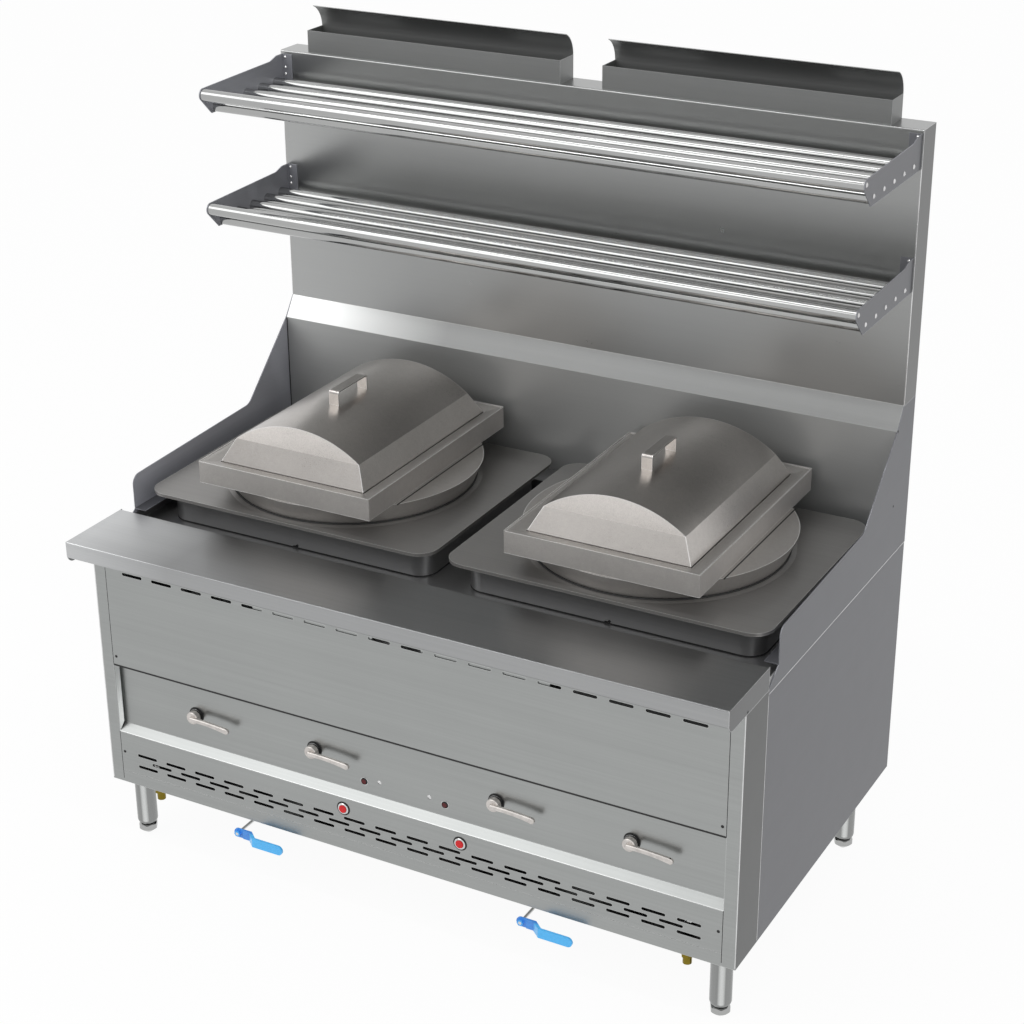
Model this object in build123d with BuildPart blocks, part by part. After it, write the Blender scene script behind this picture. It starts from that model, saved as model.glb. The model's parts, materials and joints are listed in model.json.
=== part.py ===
from build123d import *
import math
import os

# Two-station gas steam range, free standing on four legs.
# Millimetres. X runs to the right, Y to the back, Z up. The origin is on the floor, under the middle
# of the whole outline, so the ledge's front edge and the cabinet's back are equally far from it.

# Driving dimensions: the cabinet
WIDTH = 1524.0  # overall width
CABINET_DEPTH = 870.0  # front face to back face
LEG_HEIGHT = 152.4  # floor to the cabinet's bottom
SHEET = 2.0  # panels
THIN_SHEET = 1.5  # lids, ducts, risers
BEND = 3.0  # outer radius of a folded edge
SEAM = 0.5  # gap beside a panel that screws on
SKIRT_HEIGHT = 30.0
STRIP_LOW = 130.0  # where the slanted strip leaves the front face
PANEL_RECESS = 17.0  # control panel behind the front face
UPPER_PANEL_LOW = 299.0
SIDE_SEAM_DROP = 60.0  # ledge to the top of the side panels
POST_FACE = 30.0
POST_RETURN = 108.0
POST_BACKING = 52.0  # how far the posts reach in behind the panels
PANEL_RETURN = 15.0
CONTROL_LAP = 31.0  # control panel's overlap behind the upper panel
RAIL_SHEET = 3.0
RAIL_FLANGE = 40.0
CROSS_RAIL = 34.0
FRONT_SHIELD = 160.0  # closed bottom behind the grille
LEG_HOLE_PLAY = 2.0
PIPE_HOLE_PLAY = 1.0

# The ledge, the gutter and the decks
LEDGE_HEIGHT = 625.0  # over the cabinet's bottom
LEDGE_REACH = 83.0  # past the front face
LEDGE_LIP = 37.0
LEDGE_HEM = 12.0
LEDGE_BACK = 106.0
LEDGE_END = 50.0
LEDGE_CORNER = 20.0
GUTTER_DROP = 48.0  # ledge to gutter floor
GUTTER_RIM = 22.0
GUTTER_STEP = 33.0
GUTTER_STEP_GAP = 7.0  # behind the chambers
DECK_RISE = 79.0  # gutter floor to deck
FRONT_GUTTER = 53.0  # ledge to deck
REAR_GUTTER = 31.0  # deck to back panel
SIDE_GUTTER = 29.2  # deck to side sheet
MIDDLE_GUTTER = 31.6  # deck to deck
DECK_CORNER = 45.0
DECK_EDGE = 7.0
DECK_RING = 14.5  # slope round the pan's foot
DECK_RING_RISE = 3.0
CHAMBER_INSET_X = 28.0
CHAMBER_INSET_FRONT = 45.0
CHAMBER_CORNER = 40.0
CHAMBER_LOW = 190.0
WEEP_LENGTH = 14.0
WEEP_HEIGHT = 6.0

# The pans, the steam boxes and the lids
PAN_MARGIN = 3.0  # rim to deck edge, in plan
PAN_FLARE = 18.0  # rim to foot
PAN_FOOT = 34.5  # foot to well
PAN_RISE = 46.5  # deck to rim
PAN_BOTTOM = 330.0
PAN_KNUCKLE = 45.0
PAN_PLAY = 0.5
PAN_MOUTH_INSET_X = 65.3
PAN_MOUTH_INSET_Y = 74.3
PAN_DRAIN_INSET = 62.0  # pan's well wall to drain
BOX_LENGTH = 430.6  # along X
BOX_INSET = 0.2  # box to deck edge, in plan
BOX_HEIGHT = 49.0
BOX_SETBACK = 6.5
BOX_FLANGE = 33.0
BOX_FLANGE_DROP = 7.0
BOX_NECK = 8.0
BOX_REST = 8.0
PLATE_GAP = 1.5
PLATE_HOLE_RADIUS = 8.0
PLATE_ROWS = 6
PLATE_COLUMNS = 4
LID_GAP = 2.5
LID_SKIRT = 9.0
LID_SHOULDER_RISE = 48.5
LID_SLOPE_X = 24.5
LID_SLOPE_Y = 25.4
LID_ARCH = 52.2
HANDLE_LENGTH = 117.0
HANDLE_HEIGHT = 32.8
HANDLE_WIDTH = 24.0
HANDLE_STRAP = 3.0
HANDLE_BEND = 7.0
HANDLE_SETBACK = -21.0  # forward of the lid's middle

# The splash guards, the backsplash and the risers
GUARD_LEAD = 6.0  # guard's upright before the deck
GUARD_RISE = 29.0  # deck to the guard's front corner
GUARD_CORNER_RADIUS = 22.0
GUARD_KINK = 171.0  # kink to back panel
GUARD_KINK_RISE = 41.0  # deck to kink
GUARD_KINK_RADIUS = 30.0
GUARD_FOOT = 28.0
REAR_FLANGE = 22.0
BACKSPLASH_DEPTH = 69.0
BACK_LEAN = 32.0  # back panel's strip, in depth
BACK_LEAN_RISE = 47.0  # back panel's strip, in height
BACKSPLASH_LOW = 906.0
BACKSPLASH_TOP = 1490.0
DUCT_WIDTH = 300.0
DUCT_THROAT = 200.0
DUCT_LOW = 420.0
DUCT_THROAT_HEIGHT = 120.0
DUCT_CLEARANCE = 2.0
RISER_INNER_X = 50.0
RISER_INSET = 72.0
RISER_HEIGHT = 50.0
RISER_SETBACK = 6.0
RISER_CURL_RADIUS = 54.7
RISER_CURL_ANGLE = 69.0

# The shelves
SHELF_REACH = 341.0  # backsplash to where the nose's two edges would meet
SHELF_TUBE_DIAMETER = 25.4
SHELF_TUBE_WALL = 1.2
SHELF_TUBE_COUNT = 5
SHELF_TUBE_GAP = 33.2  # last tube's axis to the backsplash
SHELF_TUBE_PITCH = 57.7
SHELF_DROPS = (337.0, 81.0)  # backsplash top to the lower edges of the end plates
SHELF_PLATE_HEIGHT = 73.0
SHELF_NOSE_RISE = 60.0
SHELF_NOSE_SLOPE = 60.0
SHELF_NOSE_LAP = 1.3  # plate outside the nose tube
SHELF_PLATE_INSET = 4.0
SHELF_FLANGE = 25.0
SHELF_CORNER_DROP = 8.0
SHELF_NOSE_TUBE = 34.0  # behind the nose's point
SHELF_NOSE_TUBE_RISE = 46.0

# The legs and the feet
LEG_INSET = 48.0  # from the sides and from the front
LEG_REAR_INSET = 133.0
LEG_RADIUS = 23.0
LEG_WALL = 2.0
LEG_TOE_RADIUS = 12.0
LEG_PLATE = 86.0
FOOT_HEIGHT = 24.0
FOOT_FLATS = 39.0
FOOT_SOLE_RADIUS = 9.0
FOOT_TAPER = 11.0
FOOT_STEM_RADIUS = 6.0
FOOT_STEM = 40.0
SCREW_PLAY = 0.08  # radial, in a thread that turns
TURN_GAP = 0.4  # between faces that turn past each other

# The gas train
LEVER_Z = 218.0
LEVER_SPREAD = 153.0
LEVER_REACH = 99.0
LEVER_HUB_RADIUS = 14.5
LEVER_HUB_FACE = -2.5  # how far back the hub's face is
LEVER_ARM = 11.0
LEVER_TIP = 13.2
LEVER_ARM_THICKNESS = 7.0
LEVER_DROOP = 5.0
LEVER_SAG = 1.0
LEVER_EDGE = 1.5
COLLAR_RADIUS = 15.0
COLLAR_LENGTH = 7.0
SPINDLE_RADIUS = 5.0
SPINDLE_PLAY = 0.08
SPINDLE_LENGTH = 42.0
VALVE_WIDTH = 28.0
VALVE_START = 24.0
VALVE_LENGTH = 42.0
VALVE_NECK_RADIUS = 9.0
VALVE_NOZZLE_RADIUS = 6.0
VALVE_NOZZLE = 12.0
MANIFOLD_RADIUS = 13.35
MANIFOLD_BORE = 10.5
MANIFOLD_Y = 45.0
MANIFOLD_Z = 185.0
MANIFOLD_END_INSET = 162.0
MANIFOLD_INSET = 40.0
MANIFOLD_JOG = 40.0
INLET_RECESS = 4.0
INLET_STUB = 20.0
INLET_GAP = 18.0
UNION_FLATS = 42.0
UNION_LENGTH = 18.0
BURNER_RADIUS = 155.0
BURNER_Z = 206.0
BURNER_PLATE = 22.0
BURNER_RING = 14.0
BURNER_RING_RISE = 16.0
BURNER_OUTER_RING = 138.0
BURNER_INNER_RING = 62.0
BURNER_SLOTS = 3
BURNER_SLOT_ANGLE = 60.0
MIXER_RADIUS = 17.0
MIXER_BORE = 13.0
BURNER_STAND_RADIUS = 7.0
BURNER_STAND_X = 240.0
BURNER_STAND_Y = 150.0
IGNITER_RADIUS = 4.0
IGNITER_LENGTH = 58.0

# The buttons and the lamps
BUTTON_X = 142.5
BUTTON_Z = 103.0
BUTTON_RADIUS = 9.0
BUTTON_PROUD = 5.5
BUTTON_TRAVEL = 4.0
BEZEL_RADIUS = 13.0
BEZEL_PROUD = 3.0
SWITCH_RADIUS = 10.8
SWITCH_LENGTH = 34.0
LAMP_X = 98.0
LAMP_Z = 174.0
LAMP_RADIUS = 6.0
LAMP_PROUD = 3.0
LAMP_BODY_RADIUS = 5.0

# The drains
DRAIN_SHIFT = {"left": -36.7, "right": -79.3}  # from the station's middle
DRAIN_Z = -30.0
DRAIN_VALVE_Y = 125.0
DRAIN_BODY_RADIUS = 19.0
DRAIN_BODY_HEIGHT = 62.0
DRAIN_BOSS_RADIUS = 9.5
DRAIN_BOSS_REACH = 28.5
SOCKET_RADIUS = 9.5
SOCKET_DEPTH = 14.0
BALL_RADIUS = 13.0
BALL_PLAY = 0.35
BALL_BORE = 8.0
STEM_RADIUS = 3.6
STEM_PLAY = 0.08
HANDLE_PLATE_Y = -14.0
HANDLE_CRANK_X = 34.0
HANDLE_CRANK_DEPTH = 20.0
HANDLE_REACH = 127.0
BLADE_HEIGHT = 22.0
HUB_PLATE = 3.0
SLEEVE = 5.0
NUT_FLATS = 13.0
NUT_HEIGHT = 6.0
PIPE_RADIUS = 13.0
PIPE_BORE = 10.0
PIPE_BEND = 30.0
GUTTER_DRAIN_INSET = 113.0
GUTTER_DRAIN_SETBACK = 44.0  # behind the ledge's back
COUPLING_Y = 24.0
COUPLING_RADIUS = 9.5
COUPLING_FLATS = 24.0
COUPLING_DROP = 34.0
COUPLING_COLLAR = 5.0
COUPLING_NUT = 12.0
COUPLING_BORE = 7.0

# The vent slots and the screws
SLOT_LENGTH = 52.5
SLOT_HEIGHT = 7.0
SLOT_PITCH = 77.7
TOP_SLOTS_DROP = 94.0  # below the ledge
LOW_SLOTS_Z = 65.0
LOW_SLOT_STEP = 14.5
SCREW_INSET = 39.0
SCREW_RADIUS = 2.5
SCREW_HEAD_RADIUS = 4.5
SCREW_HEAD = 1.6
SCREW_SEAT = 0.05
UPPER_SCREW_RISE = 22.0  # over the upper panel's lower edge

HALF = WIDTH / 2
INNER = HALF - SHEET  # inside of the side sheets
FRONT = LEDGE_REACH - (CABINET_DEPTH + LEDGE_REACH) / 2
STRIP_HIGH = STRIP_LOW + PANEL_RECESS
PANEL_END = HALF - POST_FACE - SEAM
CABINET_BACK = CABINET_DEPTH - SHEET
BACKSPLASH_Y = CABINET_DEPTH - BACKSPLASH_DEPTH
BACK_PANEL_Y = BACKSPLASH_Y - BACK_LEAN
BACK_PANEL_TOP = BACKSPLASH_LOW - BACK_LEAN_RISE

DECK_FRONT = LEDGE_BACK + FRONT_GUTTER
DECK_BACK = BACK_PANEL_Y - REAR_GUTTER
DECK_DEPTH = DECK_BACK - DECK_FRONT
DECK_LENGTH = INNER - SIDE_GUTTER - MIDDLE_GUTTER / 2
STATION_X = (MIDDLE_GUTTER + DECK_LENGTH) / 2
STATION_Y = (DECK_FRONT + DECK_BACK) / 2
STATIONS = {"left": -STATION_X, "right": STATION_X}
CHAMBER_FRONT = DECK_FRONT + CHAMBER_INSET_FRONT
CHAMBER_BACK = DECK_BACK - CHAMBER_INSET_FRONT
CHAMBER_LENGTH = DECK_LENGTH - 2 * CHAMBER_INSET_X
SIDE_SEAM = LEDGE_HEIGHT - SIDE_SEAM_DROP
GUTTER_FLOOR = LEDGE_HEIGHT - GUTTER_DROP
GUTTER_STEP_START = CHAMBER_BACK + GUTTER_STEP_GAP
GUTTER_BACK = BACK_PANEL_Y - SHEET
DECK_TOP = GUTTER_FLOOR + DECK_RISE

PAN_RIM_RADIUS = DECK_DEPTH / 2 - PAN_MARGIN
PAN_RADIUS = PAN_RIM_RADIUS - PAN_FLARE  # where it stands on the deck
PAN_WELL_RADIUS = PAN_RADIUS - PAN_FOOT  # below the deck
PAN_RIM = DECK_TOP + PAN_RISE
PAN_DRAIN_Y = STATION_Y - PAN_WELL_RADIUS + PAN_DRAIN_INSET
DECK_RING_RADIUS = PAN_RADIUS + DECK_RING
BOX_DEPTH = DECK_DEPTH - 2 * BOX_INSET
BOX_Y = STATION_Y + BOX_SETBACK
BOX_TOP = PAN_RIM + BOX_HEIGHT
BOX_REST_TOP = BOX_TOP - BOX_FLANGE_DROP - BOX_NECK
PAN_MOUTH_X = BOX_LENGTH - 2 * PAN_MOUTH_INSET_X
PAN_MOUTH_Y = BOX_DEPTH - 2 * PAN_MOUTH_INSET_Y
LID_LENGTH = BOX_LENGTH - 2 * (BOX_FLANGE + LID_GAP)
LID_DEPTH = BOX_DEPTH - 2 * (BOX_FLANGE + LID_GAP)
LID_SHOULDER_X = LID_LENGTH - 2 * LID_SLOPE_X
LID_SHOULDER_Y = LID_DEPTH - 2 * LID_SLOPE_Y
LID_EDGE = BOX_REST_TOP + LID_SKIRT
LID_SHOULDER = LID_EDGE + LID_SHOULDER_RISE
LID_ARCH_RADIUS = ((LID_SHOULDER_X / 2) ** 2 + LID_ARCH**2) / (2 * LID_ARCH)
LID_CREST = LID_SHOULDER + LID_ARCH

GUARD_FRONT = DECK_FRONT - GUARD_LEAD
GUARD_CORNER = DECK_TOP + GUARD_RISE
GUARD_KINK_Y = BACK_PANEL_Y - GUARD_KINK
GUARD_KINK_Z = DECK_TOP + GUARD_KINK_RISE
GUARD_FOOT_Z = GUTTER_FLOOR + GUTTER_STEP
RISER_OUTER_X = HALF - RISER_INSET
SHELF_LEVELS = [BACKSPLASH_TOP - drop for drop in SHELF_DROPS]
SHELF_PLATE_X = HALF - SHELF_PLATE_INSET
SHELF_FRONT = BACKSPLASH_Y - SHELF_REACH
TUBE_RADIUS = SHELF_TUBE_DIAMETER / 2
LEG_SPOTS = [
    (side * (HALF - LEG_INSET), y)
    for y in (LEG_INSET, CABINET_DEPTH - LEG_REAR_INSET)
    for side in (-1, 1)
]

VALVES = [side * STATION_X + turn * LEVER_SPREAD for side in (-1, 1) for turn in (-1, 1)]
MANIFOLD_TURN_X = HALF - MANIFOLD_INSET
INLET_X = MANIFOLD_TURN_X - MANIFOLD_JOG
INLET_END = CABINET_DEPTH - INLET_RECESS
DRAIN_X = {side: centre + DRAIN_SHIFT[side] for side, centre in STATIONS.items()}
DRAIN_TOP = DRAIN_Z + DRAIN_BODY_HEIGHT / 2
GUTTER_DRAINS = (GUTTER_DRAIN_INSET - HALF, HALF - GUTTER_DRAIN_INSET)
GUTTER_DRAIN_Y = LEDGE_BACK + GUTTER_DRAIN_SETBACK
SLOT_COUNT = int(2 * PANEL_END // SLOT_PITCH)
TOP_SLOTS_Z = LEDGE_HEIGHT - TOP_SLOTS_DROP
SCREW_X = HALF - SCREW_INSET
UPPER_SCREW_Z = UPPER_PANEL_LOW + UPPER_SCREW_RISE
LOWER_SCREW_Z = LOW_SLOTS_Z + LOW_SLOT_STEP


def back(depth):
    """The Y of a place behind the cabinet's front face."""
    return FRONT + depth


def up(height):
    """The Z of a place over the cabinet's bottom."""
    return LEG_HEIGHT + height


def level(height):
    """A lying sketch plane."""
    return Plane.XY.offset(up(height))


def facing(depth):
    """An upright sketch plane across the range: sketch X is X, sketch Y is Z, its normal is to the front."""
    return Plane.XZ.offset(-back(depth))


def patch(x_low, x_high, y_low, y_high, mode=Mode.ADD):
    """A rectangle between two corners of the sketch."""
    with Locations(((x_low + x_high) / 2, (y_low + y_high) / 2)):
        Rectangle(x_high - x_low, y_high - y_low, mode=mode)


def folded(x_low, x_high, points, side, thickness=SHEET, radius=BEND):
    """Extrudes a folded sheet along X. The points are its outer face, in depth and height."""
    with BuildSketch(Plane.YZ.offset(x_low)) as section:
        with BuildLine():
            FilletPolyline(*[(back(y), up(z)) for y, z in points], radius=radius)
            offset(amount=thickness, side=side, kind=Kind.INTERSECTION)
        make_face()
    extrude(section.sketch, amount=x_high - x_low)


def standing(z_low, z_high, points, side, thickness=SHEET, radius=BEND):
    """Extrudes a folded sheet upwards. The points are its outer face, in X and depth."""
    with BuildSketch(level(z_low)) as section:
        with BuildLine():
            FilletPolyline(*[(x, back(y)) for x, y in points], radius=radius)
            offset(amount=thickness, side=side, kind=Kind.INTERSECTION)
        make_face()
    extrude(section.sketch, amount=z_high - z_low)


def drill(spots, plane, radius, depth):
    """Cuts round holes into a part, from a plane against its normal."""
    with BuildSketch(plane) as holes:
        with Locations(*spots):
            Circle(radius)
    extrude(holes.sketch, amount=-depth, mode=Mode.SUBTRACT)


def mirrored(right):
    """The same piece for the left side."""
    with BuildPart() as left:
        mirror(right.part, about=Plane.YZ)
    return left


def save(piece, name):
    piece.part.label = name
    export_step(piece.part, f"parts/{name}.step")


os.makedirs("parts", exist_ok=True)

# The base frame: a ring of rails with the skirt and a shield in front, and cross rails under each burner.
with BuildPart() as base_frame:
    with BuildSketch(level(0)) as ring:
        patch(-INNER, INNER, back(SHEET), back(CABINET_BACK))
        offset(amount=-RAIL_FLANGE, kind=Kind.INTERSECTION, mode=Mode.SUBTRACT)
        patch(-INNER, INNER, back(SHEET), back(FRONT_SHIELD))
    extrude(amount=RAIL_SHEET)
    with BuildSketch(level(0)) as rails:
        patch(-INNER, INNER, back(SHEET), back(CABINET_BACK))
        offset(amount=-RAIL_SHEET, kind=Kind.INTERSECTION, mode=Mode.SUBTRACT)
    extrude(amount=SKIRT_HEIGHT)
    with BuildSketch(facing(0)) as skirt:
        patch(-PANEL_END, PANEL_END, up(0), up(SKIRT_HEIGHT - SEAM))
    extrude(amount=-SHEET)
    for centre in STATIONS.values():
        for turn in (-1, 1):
            rail_x = centre + turn * BURNER_STAND_X / 2
            with BuildSketch(Plane.XZ.offset(-back(SHEET + RAIL_SHEET))) as cross_rail:
                patch(rail_x - CROSS_RAIL / 2, rail_x + CROSS_RAIL / 2, up(0), up(SKIRT_HEIGHT))
                patch(
                    rail_x - CROSS_RAIL / 2 + RAIL_SHEET,
                    rail_x + CROSS_RAIL / 2 - RAIL_SHEET,
                    up(0),
                    up(SKIRT_HEIGHT - RAIL_SHEET),
                    mode=Mode.SUBTRACT,
                )
            extrude(amount=-(CABINET_BACK - SHEET - 2 * RAIL_SHEET))
    stem_holes = [(x, back(y)) for x, y in LEG_SPOTS]
    drill(stem_holes, level(RAIL_SHEET), FOOT_STEM_RADIUS + LEG_HOLE_PLAY, RAIL_SHEET)
    pipe_holes = [(x, back(COUPLING_Y)) for x in GUTTER_DRAINS]
    drill(pipe_holes, level(RAIL_SHEET), PIPE_RADIUS + PIPE_HOLE_PLAY, RAIL_SHEET)
    valve_holes = [(x, back(DRAIN_VALVE_Y)) for x in DRAIN_X.values()]
    drill(valve_holes, level(RAIL_SHEET), DRAIN_BODY_RADIUS + PIPE_HOLE_PLAY, RAIL_SHEET)
save(base_frame, "base_frame")

# The front posts: a narrow face, a backing strip that the panels screw to, and a return along the side.
with BuildPart() as front_posts:
    for side in (-1, 1):
        face_x = sorted((side * (HALF - POST_FACE), side * HALF))
        backing_x = sorted((side * (HALF - POST_BACKING), side * INNER))
        return_x = sorted((side * INNER, side * HALF))
        with BuildSketch(level(0)):
            patch(*face_x, back(0), back(SHEET))
            patch(*return_x, back(SHEET), back(POST_RETURN))
        extrude(amount=LEDGE_HEIGHT - LEDGE_END)
        with BuildSketch(level(LEDGE_HEIGHT - LEDGE_END)):
            patch(*sorted((face_x[0 if side > 0 else 1], side * INNER)), back(0), back(SHEET))
        extrude(amount=LEDGE_END - SHEET)
        with BuildSketch(level(SKIRT_HEIGHT)):
            patch(*backing_x, back(SHEET), back(2 * SHEET))
        extrude(amount=STRIP_LOW - BEND - SKIRT_HEIGHT)
        with BuildSketch(level(UPPER_PANEL_LOW + BEND)):
            patch(*backing_x, back(SHEET), back(2 * SHEET))
        extrude(amount=LEDGE_HEIGHT - SHEET - UPPER_PANEL_LOW - BEND)
    post_holes = [(side * SCREW_X, up(z)) for side in (-1, 1) for z in (UPPER_SCREW_Z, LOWER_SCREW_Z)]
    drill(post_holes, facing(0), SCREW_RADIUS + SCREW_SEAT, 2 * SHEET)
save(front_posts, "front_posts")

# The side panels, with a flange turned in at the back.
with BuildPart() as side_panel_right:
    standing(
        0,
        SIDE_SEAM,
        [(HALF, POST_RETURN), (HALF, CABINET_DEPTH), (HALF - REAR_FLANGE, CABINET_DEPTH)],
        Side.LEFT,
    )
side_panel_left = mirrored(side_panel_right)
save(side_panel_right, "side_panel_right")
save(side_panel_left, "side_panel_left")

# The splash guards: shaped plates over the side panels, with a foot flange turned in over the gutter.
with BuildPart() as splash_guard_right:
    with BuildSketch(Plane.YZ.offset(INNER)):
        with BuildLine():
            Polyline(
                *[
                    (back(y), up(z))
                    for y, z in (
                        (POST_RETURN, SIDE_SEAM),
                        (POST_RETURN, GUTTER_FLOOR),
                        (GUARD_FRONT, GUARD_FOOT_Z - SHEET),
                        (GUARD_FRONT, GUARD_CORNER),
                        (GUARD_KINK_Y, GUARD_KINK_Z),
                        (BACK_PANEL_Y, BACK_PANEL_TOP + SHEET),
                        (BACKSPLASH_Y, BACKSPLASH_LOW),
                        (CABINET_DEPTH, BACKSPLASH_LOW),
                        (CABINET_DEPTH, SIDE_SEAM),
                    )
                ],
                close=True,
            )
        make_face()
    extrude(amount=SHEET)
    uprights = splash_guard_right.edges().filter_by(Axis.X)
    fillet(
        uprights.sort_by_distance(Vector(HALF, back(GUARD_FRONT), up(GUARD_CORNER)))[0],
        radius=GUARD_CORNER_RADIUS,
    )
    uprights = splash_guard_right.edges().filter_by(Axis.X)
    fillet(
        uprights.sort_by_distance(Vector(HALF, back(GUARD_KINK_Y), up(GUARD_KINK_Z)))[0],
        radius=GUARD_KINK_RADIUS,
    )
    with BuildSketch(level(GUARD_FOOT_Z)):
        patch(INNER - GUARD_FOOT, INNER, back(GUARD_FRONT - SHEET), back(GUTTER_STEP_START))
    extrude(amount=-SHEET)
    with BuildSketch(level(SIDE_SEAM)):
        patch(HALF - REAR_FLANGE, INNER, back(CABINET_BACK), back(CABINET_DEPTH))
    extrude(amount=BACKSPLASH_LOW - SIDE_SEAM)
splash_guard_left = mirrored(splash_guard_right)
save(splash_guard_right, "splash_guard_right")
save(splash_guard_left, "splash_guard_left")


def slot_row(height, count):
    """One row of long vent slots, centred on the range."""
    with Locations((0, up(height))):
        with GridLocations(SLOT_PITCH, SLOT_PITCH, count, 1):
            SlotOverall(SLOT_LENGTH, SLOT_HEIGHT)


# The upper front panel, folded back under itself at its lower edge.
with BuildPart() as upper_front_panel:
    folded(
        -PANEL_END,
        PANEL_END,
        [(0, LEDGE_HEIGHT - SHEET), (0, UPPER_PANEL_LOW), (PANEL_RECESS, UPPER_PANEL_LOW)],
        Side.LEFT,
    )
    with BuildSketch(facing(0)):
        slot_row(TOP_SLOTS_Z, SLOT_COUNT)
    extrude(amount=-SHEET, mode=Mode.SUBTRACT)
    holes = [(side * SCREW_X, up(UPPER_SCREW_Z)) for side in (-1, 1)]
    drill(holes, facing(0), SCREW_RADIUS + SCREW_SEAT, SHEET)
save(upper_front_panel, "upper_front_panel")

# The control panel, set back, with the slanted strip below it.
with BuildPart() as control_panel:
    folded(
        -PANEL_END,
        PANEL_END,
        [
            (PANEL_RECESS, UPPER_PANEL_LOW + CONTROL_LAP),
            (PANEL_RECESS, STRIP_HIGH),
            (0, STRIP_LOW),
        ],
        Side.LEFT,
    )
    with BuildSketch(level(STRIP_LOW)):
        patch(-HALF, HALF, back(-SHEET), back(PANEL_RECESS + 2 * SHEET))
    extrude(amount=-2 * SHEET, mode=Mode.SUBTRACT)
    holes = [(x, up(LEVER_Z)) for x in VALVES]
    drill(holes, facing(PANEL_RECESS), SPINDLE_RADIUS + SHEET, 2 * SHEET)
    holes = [(side * LAMP_X, up(LAMP_Z)) for side in (-1, 1)]
    drill(holes, facing(PANEL_RECESS), LAMP_BODY_RADIUS, 2 * SHEET)
save(control_panel, "control_panel")

# The grille panel: three rows of slots, the middle row set off by half a pitch.
with BuildPart() as grille_panel:
    folded(
        -PANEL_END,
        PANEL_END,
        [(PANEL_RETURN, STRIP_LOW), (0, STRIP_LOW), (0, SKIRT_HEIGHT)],
        Side.LEFT,
    )
    with BuildSketch(facing(0)):
        slot_row(LOW_SLOTS_Z + LOW_SLOT_STEP, SLOT_COUNT)
        slot_row(LOW_SLOTS_Z, SLOT_COUNT - 1)
        slot_row(LOW_SLOTS_Z - LOW_SLOT_STEP, SLOT_COUNT)
    extrude(amount=-SHEET, mode=Mode.SUBTRACT)
    holes = [(side * SCREW_X, up(LOWER_SCREW_Z)) for side in (-1, 1)]
    drill(holes, facing(0), SCREW_RADIUS + SCREW_SEAT, SHEET)
    holes = [(side * BUTTON_X, up(BUTTON_Z)) for side in (-1, 1)]
    drill(holes, facing(0), SWITCH_RADIUS, SHEET)
save(grille_panel, "grille_panel")

# The front ledge: a folded top with a lip, a hem and a back flange, closed by a flange at each end.
with BuildPart() as front_ledge:
    folded(
        -INNER,
        INNER,
        [
            (LEDGE_HEM - LEDGE_REACH, LEDGE_HEIGHT - LEDGE_LIP),
            (-LEDGE_REACH, LEDGE_HEIGHT - LEDGE_LIP),
            (-LEDGE_REACH, LEDGE_HEIGHT),
            (LEDGE_BACK, LEDGE_HEIGHT),
            (LEDGE_BACK, GUTTER_FLOOR),
        ],
        Side.RIGHT,
    )
    for x in (-HALF, INNER):
        with BuildSketch(Plane.YZ.offset(x)) as ledge_end:
            patch(back(-LEDGE_REACH), back(POST_RETURN), up(LEDGE_HEIGHT - LEDGE_END), up(LEDGE_HEIGHT))
            low_corner = ledge_end.vertices().sort_by(Axis.Y)[0:2].sort_by(Axis.X)[0]
            fillet(low_corner, radius=LEDGE_CORNER)
        extrude(amount=SHEET)
save(front_ledge, "front_ledge")


def chamber_outline(centre, inset, mode=Mode.ADD):
    """The rounded outline of a chamber's wall, drawn in by an inset."""
    with Locations((centre, back((CHAMBER_FRONT + CHAMBER_BACK) / 2))):
        RectangleRounded(
            CHAMBER_LENGTH - 2 * inset,
            CHAMBER_BACK - CHAMBER_FRONT - 2 * inset,
            CHAMBER_CORNER - inset,
            mode=mode,
        )


# The gutter tray, of four sheets: a floor round both chambers, a rim at each side and a raised back.
with BuildPart() as gutter_tray:
    drain_spots = [(x, back(GUTTER_DRAIN_Y)) for x in GUTTER_DRAINS]
    with BuildSketch(level(GUTTER_FLOOR)):
        patch(-INNER, INNER, back(LEDGE_BACK - SHEET), back(GUTTER_STEP_START))
        for centre in STATIONS.values():
            chamber_outline(centre, 0, mode=Mode.SUBTRACT)
        with Locations(*drain_spots):
            Circle(PIPE_RADIUS, mode=Mode.SUBTRACT)
    gutter_floor = extrude(amount=-SHEET, mode=Mode.PRIVATE)
    with BuildSketch(level(GUTTER_FLOOR)):
        for side in (-1, 1):
            patch(*sorted((side * (INNER - SHEET), side * INNER)), back(POST_RETURN), back(GUTTER_BACK))
    side_rims = extrude(amount=GUTTER_RIM, mode=Mode.PRIVATE)
    with BuildSketch(Plane.YZ.offset(-INNER + SHEET)):
        with BuildLine():
            Polyline(
                (back(GUTTER_STEP_START), up(GUTTER_FLOOR - SHEET)),
                (back(GUTTER_STEP_START), up(GUTTER_FLOOR + GUTTER_STEP)),
                (back(GUTTER_BACK), up(GUTTER_FLOOR + GUTTER_STEP)),
            )
            offset(amount=SHEET, side=Side.RIGHT, kind=Kind.INTERSECTION)
        make_face()
    raised_back = extrude(amount=2 * (INNER - SHEET), mode=Mode.PRIVATE)
gutter_tray.part = Compound([*gutter_floor.solids(), *side_rims.solids(), *raised_back.solids()])
save(gutter_tray, "gutter_tray")


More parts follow.
